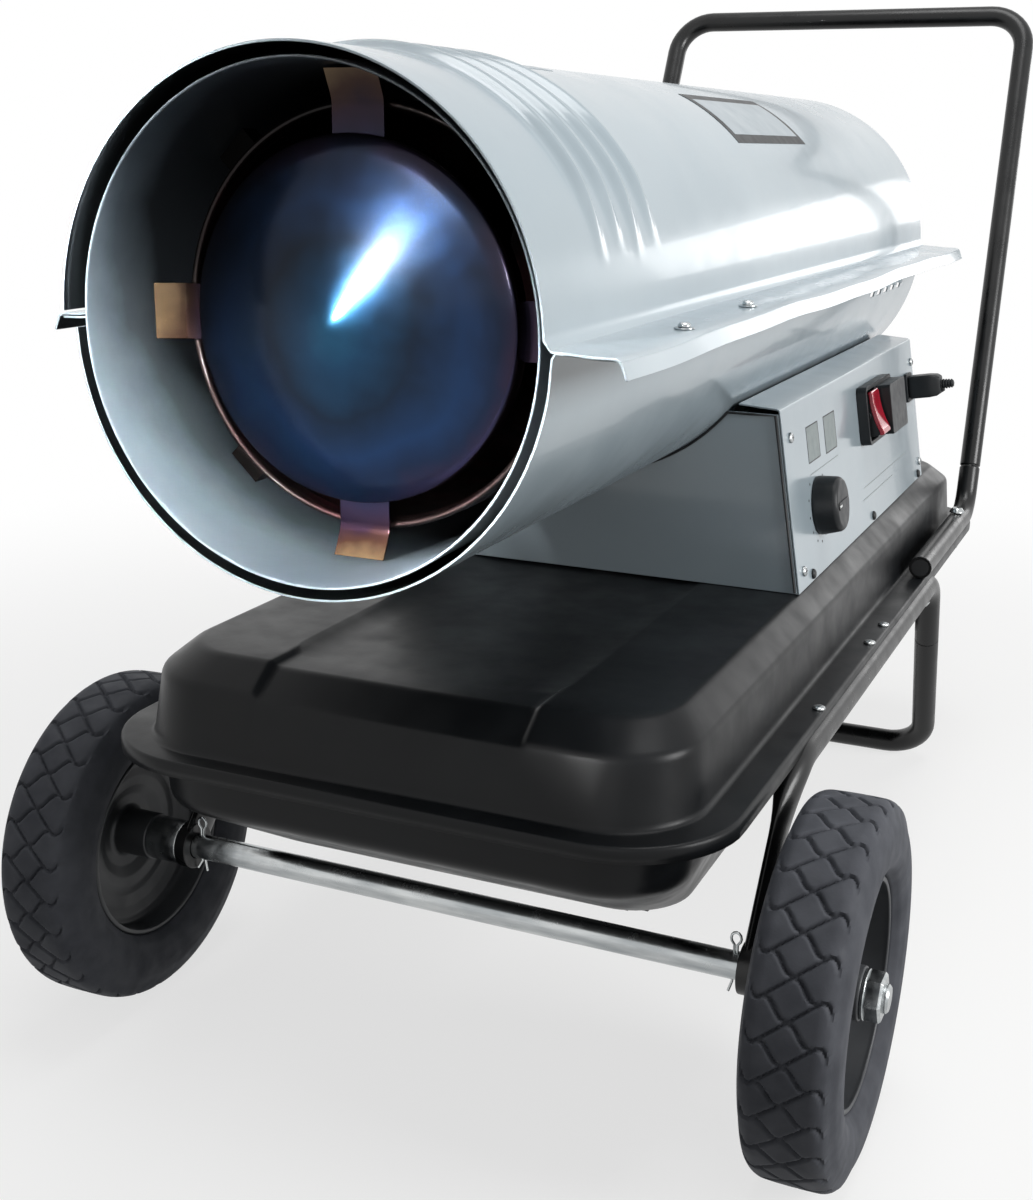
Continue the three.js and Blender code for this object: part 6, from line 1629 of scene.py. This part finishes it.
make_piece("rocker_body", placed(rocker_body, ROCKER_PLACE @ rocker_frame), black_plastic,
           body=BODY_OF["rocker_switch"], bevel=0.4)
print("rocker at", round(ROCKER_ALONG, 1), ROCKER_UP, "on the panel")


# %% [markdown]
# ### Socket and plug
#
# A remote thermostat can be plugged in at the rear of the panel. Without one, a short black plug bridges the
# socket. Its neck is ribbed, as a moulded cable end is.

# %% Socket and plug
SOCKET_FRAME, SOCKET_HALF, SOCKET_BORE, PLUG_HALF = 12, 8.6, 6.3, 9.5
bore = round_corners(SOCKET_BORE, SOCKET_BORE, 1)
barrel = round_corners(SOCKET_HALF, SOCKET_HALF, 1.5)
socket_frame = ring_frame(round_corners(SOCKET_FRAME, SOCKET_FRAME, 3), bore, GAP, 3)
socket_tube = ring_frame(barrel, bore, -10, 1)
socket_base = plate(barrel, -22, -9.5)
make_piece("socket_frame", across_panel(together(socket_frame, socket_tube, socket_base), *SOCKET),
           black_plastic, "thermostat_socket", bevel=0.5)

plug_body = skin([[(x * scale, y * scale, level) for x, y in round_corners(PLUG_HALF, PLUG_HALF, 3)]
                  for level, scale in ((3.3, 0.93), (4.5, 1), (20, 1), (26, 0.93), (29.3, 0.72))])
plug_nose = plate(round_corners(5.7, 5.7, 1), -8.5, 4)
RIBS, RIB_STEP, RIB_RADIUS, RIB_DEPTH, NECK_TAPER = 5, 2.2, 4.5, 0.9, 0.2
neck_line = [(0, 28)]
for i in range(RIBS):
    start = 28.6 + RIB_STEP * i
    crest = RIB_RADIUS - NECK_TAPER * i
    neck_line += [(crest, start), (crest, start + 1.2), (crest - RIB_DEPTH, start + 1.4),
                  (crest - RIB_DEPTH, start + 2.1)]
neck_line += [(0, 40.2)]
stub = placed(turned(rounded(band(0, 2.6, 0, 8), 0.8, 3), 24),
              Matrix.Translation((-7, 0, 24)) @ Matrix.Rotation(0.5, 4, "Y"))
plug_shape = together(plug_body, plug_nose, turned(neck_line, 32), stub)
make_piece("plug_body", across_panel(plug_shape, *SOCKET), black_plastic, "bridging_plug", bevel=0.3)
print("plug at", SOCKET, "on the panel")


# %% [markdown]
# ### Printed fields and screws
#
# The panel's print is left without words: two grey, blank fields and a few thin rules. Pan-head screws with
# a cross hold the panel at its corners, black ones hold its foot, and ones with washers hold the drum's
# flanges together.

# %% Fields, rules and screws
def frame_of(y_low, y_high, z_low, z_high, line):
    """A thin printed frame on the panel."""
    half = ((z_high - z_low) / 2, (y_high - y_low) / 2)
    inner = (half[0] - line, half[1] - line)
    shape = ring_frame(round_corners(*half, 1), round_corners(*inner, 0.6), 0.02, 0.14)
    return across_panel(shape, (y_low + y_high) / 2, (z_low + z_high) / 2)


field_places = ((56, 88, 75.7, 100.4), (104, 136.5, 74.3, 100.5))
make_piece("field_outlines", together(*[frame_of(*place, 0.8) for place in field_places]), label_ink)
fills = [across_panel(plate(round_corners((z1 - z0) / 2 - 0.4, (y1 - y0) / 2 - 0.4, 0.8), 0.02, 0.09),
                      (y0 + y1) / 2, (z0 + z1) / 2) for y0, y1, z0, z1 in field_places]
make_piece("blank_fields", together(*fills), grey_print)
rules = together(*[across_panel(block(-0.3, 0.3, -half, half, 0.02, 0.12), y, z)
                   for y, z, half in ((96.5, 68.2, 39.5), (286, 30.5, 79), (255, 22, 55), (325, 96, 24))])
make_piece("printed_rules", rules, grey_print)


def cross_screw(radius, height):
    """A pan head standing on z = 0, and a cross of thin bars on its crown where the recess is."""
    head_line = [(0, 0), (radius, 0), (radius * 0.94, height * 0.6), (radius * 0.6, height), (0, height)]
    long, thin, levels = radius * 0.55, radius * 0.12, (height * 0.9, height * 1.02)
    bars = together(block(-thin, thin, -long, long, *levels), block(-long, long, -thin, thin, *levels))
    return turned(rounded(head_line, radius * 0.15, 3), 32), bars


FOOT_ROW = 8
panel_screws, panel_recess_shades, foot_screws = [], [], []
for y, z in ((16, 100), (422, 101), (15, 12), (421, 14), (37, 5), (228, 5), (411, 4.6)):
    head, cross = cross_screw(3.6, 2.2)
    for side, frame_matrix in ((1, panel_right), (-1, panel_left)):
        out = Matrix(((0, 0, side), (0, 1, 0), (side, 0, 0))).to_4x4()
        place = frame_matrix @ Matrix.Translation((0, y, z)) @ out
        if z < FOOT_ROW:
            foot_screws.append(placed(head, place))
        else:
            panel_screws.append(placed(head, place))
            panel_recess_shades.append(placed(cross, place))
make_piece("panel_screws", together(*panel_screws), zinc_plate)
make_piece("foot_screws", together(*foot_screws), black_plastic)
# Painted shade: the crosses are black ink, standing for the dark inside the screws' recesses.
make_piece("panel_screw_recess_shades", together(*panel_recess_shades), label_ink)

flange_screws = []
for x, y in ((148, -414.5), (145.5, -299.5)):
    for side in (1, -1):
        top = DRUM_AXIS + 0.2 + flange_wave(y)
        washer = turned(rounded(band(0, 5, 0, 0.9), 0.3, 2), 32)
        head, _ = cross_screw(3.2, 2.2)
        flange_screws.append(shifted(together(washer, shifted(head, 0, 0, 1.0)), side * x, y, top))
make_piece("flange_screws", together(*flange_screws), zinc_plate)

tank_bolts = []
for y in (-36.8, -83.9, -229.5):
    for side in (1, -1):
        head = turned(rounded([(0, 0), (4.2, 0), (3.8, 1.6), (0, 2.6)], 0.8, 3), 28)
        tank_bolts.append(shifted(head, side * 183, y, FLANGE_Z))
make_piece("tank_rivets", together(*tank_bolts), zinc_plate)
print("screws on the panels, the drum and the tank's flange")


# %% [markdown]
# ### Blank plates on the drum
#
# A printed foil sits high on the drum near the rear. It is left blank: pale satin foil with a dark border.
# A second, smaller one lies near the front. Both follow the curve of the shell.

# %% Curved plates
def drum_patch(y_low, y_high, a_low, a_high, lift, sheet, inset=0.0):
    """A thin patch on the shell between two places along the drum and two angles above the right side."""
    edge = inset / DRUM_RADIUS
    ys = steps_between(y_low + inset, y_high - inset, 12)
    angles = steps_between(math.radians(a_low) + edge, math.radians(a_high) - edge, 16)

    def grid(radius):
        return [[(radius * math.cos(a), y, DRUM_AXIS + radius * math.sin(a)) for a in angles] for y in ys]

    return sheet_body(grid(DRUM_RADIUS + lift + sheet), grid(DRUM_RADIUS + lift))


LARGE_PLATE, SMALL_PLATE = (-148.5, 16.5, 43, 66), (-338, -300, 76, 96)
make_piece("drum_plate_border", drum_patch(*LARGE_PLATE, 0.02, 0.25), label_ink)
make_piece("drum_plate_face", drum_patch(*LARGE_PLATE, 0.2, 0.2, inset=7), label_face)
make_piece("drum_small_plate", drum_patch(*SMALL_PLATE, 0.02, 0.2), label_face)
print("blank plates on the drum")


# %% [markdown]
# ## Rear end
#
# ### Guard
#
# The rear guard is one stamped disc with ring-shaped slots between four spokes, and a turned rim. It is a
# grid in rings and angles, where the slots are left-out cells, and each bar is domed a little.

# %% Rear guard
guard_low, guard_high = box_mm("rear_guard")
GUARD_RADIUS = guard_high.x
GUARD_HUB, GUARD_RINGS, GUARD_BAR = 16, 4, 4
slot_pitch = (GUARD_RADIUS - 6 + GUARD_BAR - GUARD_HUB) / GUARD_RINGS
guard_radii = [3.0, 9.0]
for i in range(GUARD_RINGS):
    guard_radii += [GUARD_HUB + i * slot_pitch, GUARD_HUB + (i + 1) * slot_pitch - GUARD_BAR]
guard_radii += [GUARD_RADIUS - 3, GUARD_RADIUS]
slot_rows = {2 + 2 * i for i in range(GUARD_RINGS)}
SPOKE_ANGLE = math.radians(2.2)
guard_angles = []
for quarter in range(4):
    start = quarter * math.pi / 2
    guard_angles += [start + SPOKE_ANGLE + (math.pi / 2 - 2 * SPOKE_ANGLE) * k / 24 for k in range(25)]
spoke_cells = {25 * quarter + 24 for quarter in range(4)}


def guard_face(y):
    return [[(r * math.cos(a), y, DRUM_AXIS + r * math.sin(a)) for a in guard_angles] for r in guard_radii]


guard_disc = sheet_body(guard_face(guard_high.y), guard_face(guard_low.y), closed=True,
                        keep=lambda row, column: row not in slot_rows or column in spoke_cells)
make_piece("guard_disc", guard_disc, powder_coat, "rear_guard", bevel=0.5)
boss_line = [(0, guard_high.y), (7, guard_high.y), (6, guard_high.y + 2), (0, guard_high.y + 2.4)]
make_piece("guard_boss", on_drum(turned(rounded(boss_line, 0.8, 2), 32, ALONG_Y)), zinc_plate)
print("guard with", 4 * GUARD_RINGS, "slots")


# %% [markdown]
# ### Fan and motor
#
# The fan has five twisted blades of sheet on a cast hub. The motor behind it is a ribbed drum with two end
# bells, carried by a bracket, with the air pump on its rear.

# %% Fan
fan_low, fan_high = box_mm("fan")
fan_middle = (fan_low.y + fan_high.y) / 2
BLADE_COUNT, ROOT_PITCH, BLADE_TWIST, BLADE_CAMBER = 5, 0.72, 0.28, 3.0
BLADE_ROOT, BLADE_TIP = 15, 102
blades = []
for i in range(BLADE_COUNT):
    grids = []
    for depth in (-1, 1):
        rows = []
        for r in steps_between(BLADE_ROOT, BLADE_TIP, 10):
            share = (r - BLADE_ROOT) / (BLADE_TIP - BLADE_ROOT)
            half = 13 + 20 * share - 6 * ease(share, 0.8, 1)
            pitch = ROOT_PITCH - BLADE_TWIST * share
            row = []
            for c in steps_between(-1, 1, 8):
                across = c * half * math.cos(pitch)
                along = fan_middle + c * half * math.sin(pitch) + BLADE_CAMBER * (1 - c * c)
                out = math.sqrt(max(1.0, r * r - across ** 2))
                row.append((across, along - BLADE_CAMBER / 2 + depth, out))
            rows.append(row)
        grids.append(rows)
    blades.append(placed(sheet_body(*grids), Matrix.Rotation(i * 2 * math.pi / BLADE_COUNT, 4, "Y")))
hub_line = [(5.3, fan_middle - 14), (14, fan_middle - 14), (18, fan_middle - 10), (18, fan_middle + 14),
            (5.3, fan_middle + 14)]
hub = turned_ring(hub_line, 1.5, 3, 48, ALONG_Y)
make_piece("fan_wheel", on_drum(hub, *blades), cast_aluminium, "fan", bevel=0.4)
print("fan from y", round(fan_low.y, 1), "to", round(fan_high.y, 1))

# %% Motor
motor_low, motor_high = box_mm("motor")
motor_profile = [(5.5, motor_low.y), (34, motor_low.y), (36, motor_low.y + 2), (44, motor_low.y + 14)]
RIB_COUNT, RIB_PITCH = 12, 5
for i in range(RIB_COUNT):
    start = motor_low.y + 18 + RIB_PITCH * i
    motor_profile += [(44, start), (44, start + 2.6), (41.6, start + 3), (41.6, start + 4.6)]
motor_profile += [(44, motor_high.y - 14), (36, motor_high.y - 2), (34, motor_high.y), (5.5, motor_high.y)]
motor_shape = on_drum(turned(motor_profile, 96, ALONG_Y, closed=True))
make_piece("motor_can", motor_shape, tank_enamel, "motor", sharp=30)
print("motor with", RIB_COUNT, "ribs")


# %% [markdown]
# ## Finishes for the pieces that stay as they are
#
# The pieces inside keep their construction as it is. Each gets its real finish, smooth shading over its
# round faces and a small rounding on its edges.

# %% Finishes on the remaining nodes
KEPT = {
    "burner_head": bare_steel, "fuel_nozzle": turned_brass, "ignition_electrode": glazed_ceramic,
    "flame_sensor": black_plastic, "motor_shaft": bare_steel, "motor_bracket": bare_steel,
    "pump_body": cast_aluminium, "pump_rotor": bare_steel, "pump_filter_cover": black_plastic,
    "filler_strainer": turned_brass, "cap_seal": hose_rubber, "thermostat": black_plastic,
    "circuit_board": green_board, "ignition_transformer": black_plastic, "fuel_filter": turned_brass,
    "fuel_hose": hose_rubber, "air_hose": hose_rubber}
KEPT_ROUNDING = 0.3
for node, material in KEPT.items():
    kept = frame["nodes"][node]
    for slot in kept.material_slots:
        slot.material = material
    round_edges(kept, KEPT_ROUNDING)
print(len(KEPT), "nodes finished")


# %% [markdown]
# ## Floor and light
#
# The floor is a wide, pale disc. Near the heater it takes the light and the shadow as a matt surface does.
# Further out it turns to plain white, which is also what the camera and glossy surfaces see of the world,
# so there is no horizon. Where it turns white depends on the place on the floor alone.

# %% Floor
FLOOR_RADIUS = 4200
FLOOR_NEAR, FLOOR_FAR = 380, 1500
floor_paint = blank_material("pale_studio_floor")
floor_place = add_node(floor_paint, "ShaderNodeTexCoord").outputs["Object"]
floor_away = add_node(floor_paint, "ShaderNodeVectorMath", {"operation": "LENGTH"}, {0: floor_place})
floor_share = add_node(floor_paint, "ShaderNodeMapRange", {
    "From Min": FLOOR_NEAR * MM, "From Max": FLOOR_FAR * MM,
    "To Min": 0.7, "interpolation_type": "SMOOTHSTEP"},
    {"Value": floor_away.outputs["Value"]})
seen = add_node(floor_paint, "ShaderNodeLightPath")
seen_glossy = add_node(floor_paint, "ShaderNodeMath", {"operation": "MAXIMUM"}, {
    0: seen.outputs["Is Camera Ray"], 1: seen.outputs["Is Glossy Ray"]})
seen_any = add_node(floor_paint, "ShaderNodeMath", {"operation": "MAXIMUM"}, {
    0: seen_glossy.outputs["Value"], 1: seen.outputs["Is Transmission Ray"]})
floor_white = add_node(floor_paint, "ShaderNodeMath", {"operation": "MULTIPLY"}, {
    0: floor_share.outputs["Result"], 1: seen_any.outputs["Value"]})
floor_bounce = add_node(floor_paint, "ShaderNodeMix", {
    "data_type": "RGBA", 6: colour(0x6A6A68), 7: colour(0xF4F4F2)}, {0: seen.outputs["Is Camera Ray"]})
floor_matt = add_node(floor_paint, "ShaderNodeBsdfDiffuse", links={"Color": floor_bounce.outputs[2]})
floor_glow = add_node(floor_paint, "ShaderNodeEmission", {"Color": (1, 1, 1, 1), "Strength": 1.0})
floor_mix = add_node(floor_paint, "ShaderNodeMixShader", links={
    0: floor_white.outputs["Value"], 1: floor_matt.outputs["BSDF"], 2: floor_glow.outputs["Emission"]})
finished(floor_paint, floor_mix)

floor_mesh = bpy.data.meshes.new("studio_floor")
disc = bmesh.new()
bmesh.ops.create_circle(disc, cap_ends=True, segments=96, radius=FLOOR_RADIUS * MM)
disc.to_mesh(floor_mesh)
disc.free()
floor_mesh.materials.append(floor_paint)
floor = bpy.data.objects.new("studio_floor", floor_mesh)
scene.collection.objects.link(floor)
print("floor of radius", FLOOR_RADIUS, "mm")


# %% [markdown]
# The world lights softly from everywhere, and shows as white where it is seen directly or mirrored. A large
# softbox stands to the right and one hangs above. Weak ones stand in front and behind. A small one with a
# narrow beam is placed where the cone mirrors it: a cone turns a small bright source into a bright wedge.
# The last one lights the liner.

# %% World and lamps
world = bpy.data.worlds.new("studio")
scene.world = world
world.use_nodes = True
world.node_tree.nodes.clear()
world_rays = add_node(world, "ShaderNodeLightPath")
world_glossy = add_node(world, "ShaderNodeMath", {"operation": "MAXIMUM"}, {
    0: world_rays.outputs["Is Camera Ray"], 1: world_rays.outputs["Is Glossy Ray"]})
world_any = add_node(world, "ShaderNodeMath", {"operation": "MAXIMUM"}, {
    0: world_glossy.outputs["Value"], 1: world_rays.outputs["Is Transmission Ray"]})
WORLD_LEVEL = 0.15
world_strength = add_node(world, "ShaderNodeMapRange", {"To Min": WORLD_LEVEL, "To Max": 1.0},
                          {"Value": world_any.outputs["Value"]})
world_light = add_node(world, "ShaderNodeBackground", {"Color": (1, 1, 1, 1)},
                       {"Strength": world_strength.outputs["Result"]})
add_node(world, "ShaderNodeOutputWorld", links={"Surface": world_light.outputs["Background"]})


def softbox(name, place, aim, size, power, spread, turn):
    """A lamp at a place in millimetres that looks at a point; its light fans out by `spread` degrees."""
    lamp_data = bpy.data.lights.new(name, "AREA")
    lamp_data.shape = "RECTANGLE"
    lamp_data.size, lamp_data.size_y = size[0] * MM, size[1] * MM
    lamp_data.energy = power
    lamp_data.spread = math.radians(spread)
    lamp = bpy.data.objects.new(name, lamp_data)
    scene.collection.objects.link(lamp)
    lamp.location = Vector(place) * MM
    lamp.rotation_euler = (Vector(aim) - Vector(place)).to_track_quat("-Z", "Y").to_euler()
    if turn:
        lamp.rotation_euler.rotate_axis("Z", math.radians(turn))


CONE_PLACE = Vector((0, -470, DRUM_AXIS))
WEDGE_REACH = 1050
wedge_place = CONE_PLACE + WEDGE_REACH * Vector((-0.245, -0.933, 0.269))
LAMPS = (  # name, place, aim, size, watts, spread and turn about its own axis
    ("key_softbox", (2100, -300, 1000), (0, -80, 320), (900, 900), 35, 180, 0),
    ("top_softbox", (200, -100, 2300), (0, -50, 350), (1100, 1100), 20, 180, 0),
    ("front_softbox", (500, -2500, 900), (0, -400, 400), (900, 900), 2, 180, 0),
    ("rear_softbox", (740, 2400, 700), (120, 0, 350), (700, 330), 1.8, 180, 0),
    ("outlet_softbox", wedge_place, CONE_PLACE, (400, 130), 0.9, 8, -30),
    ("liner_softbox", (520, -1700, 640), (-60, -500, 415), (200, 200), 0.26, 6, 0))
for lamp_numbers in LAMPS:
    softbox(*lamp_numbers)
print("world and", len(LAMPS), "softboxes")
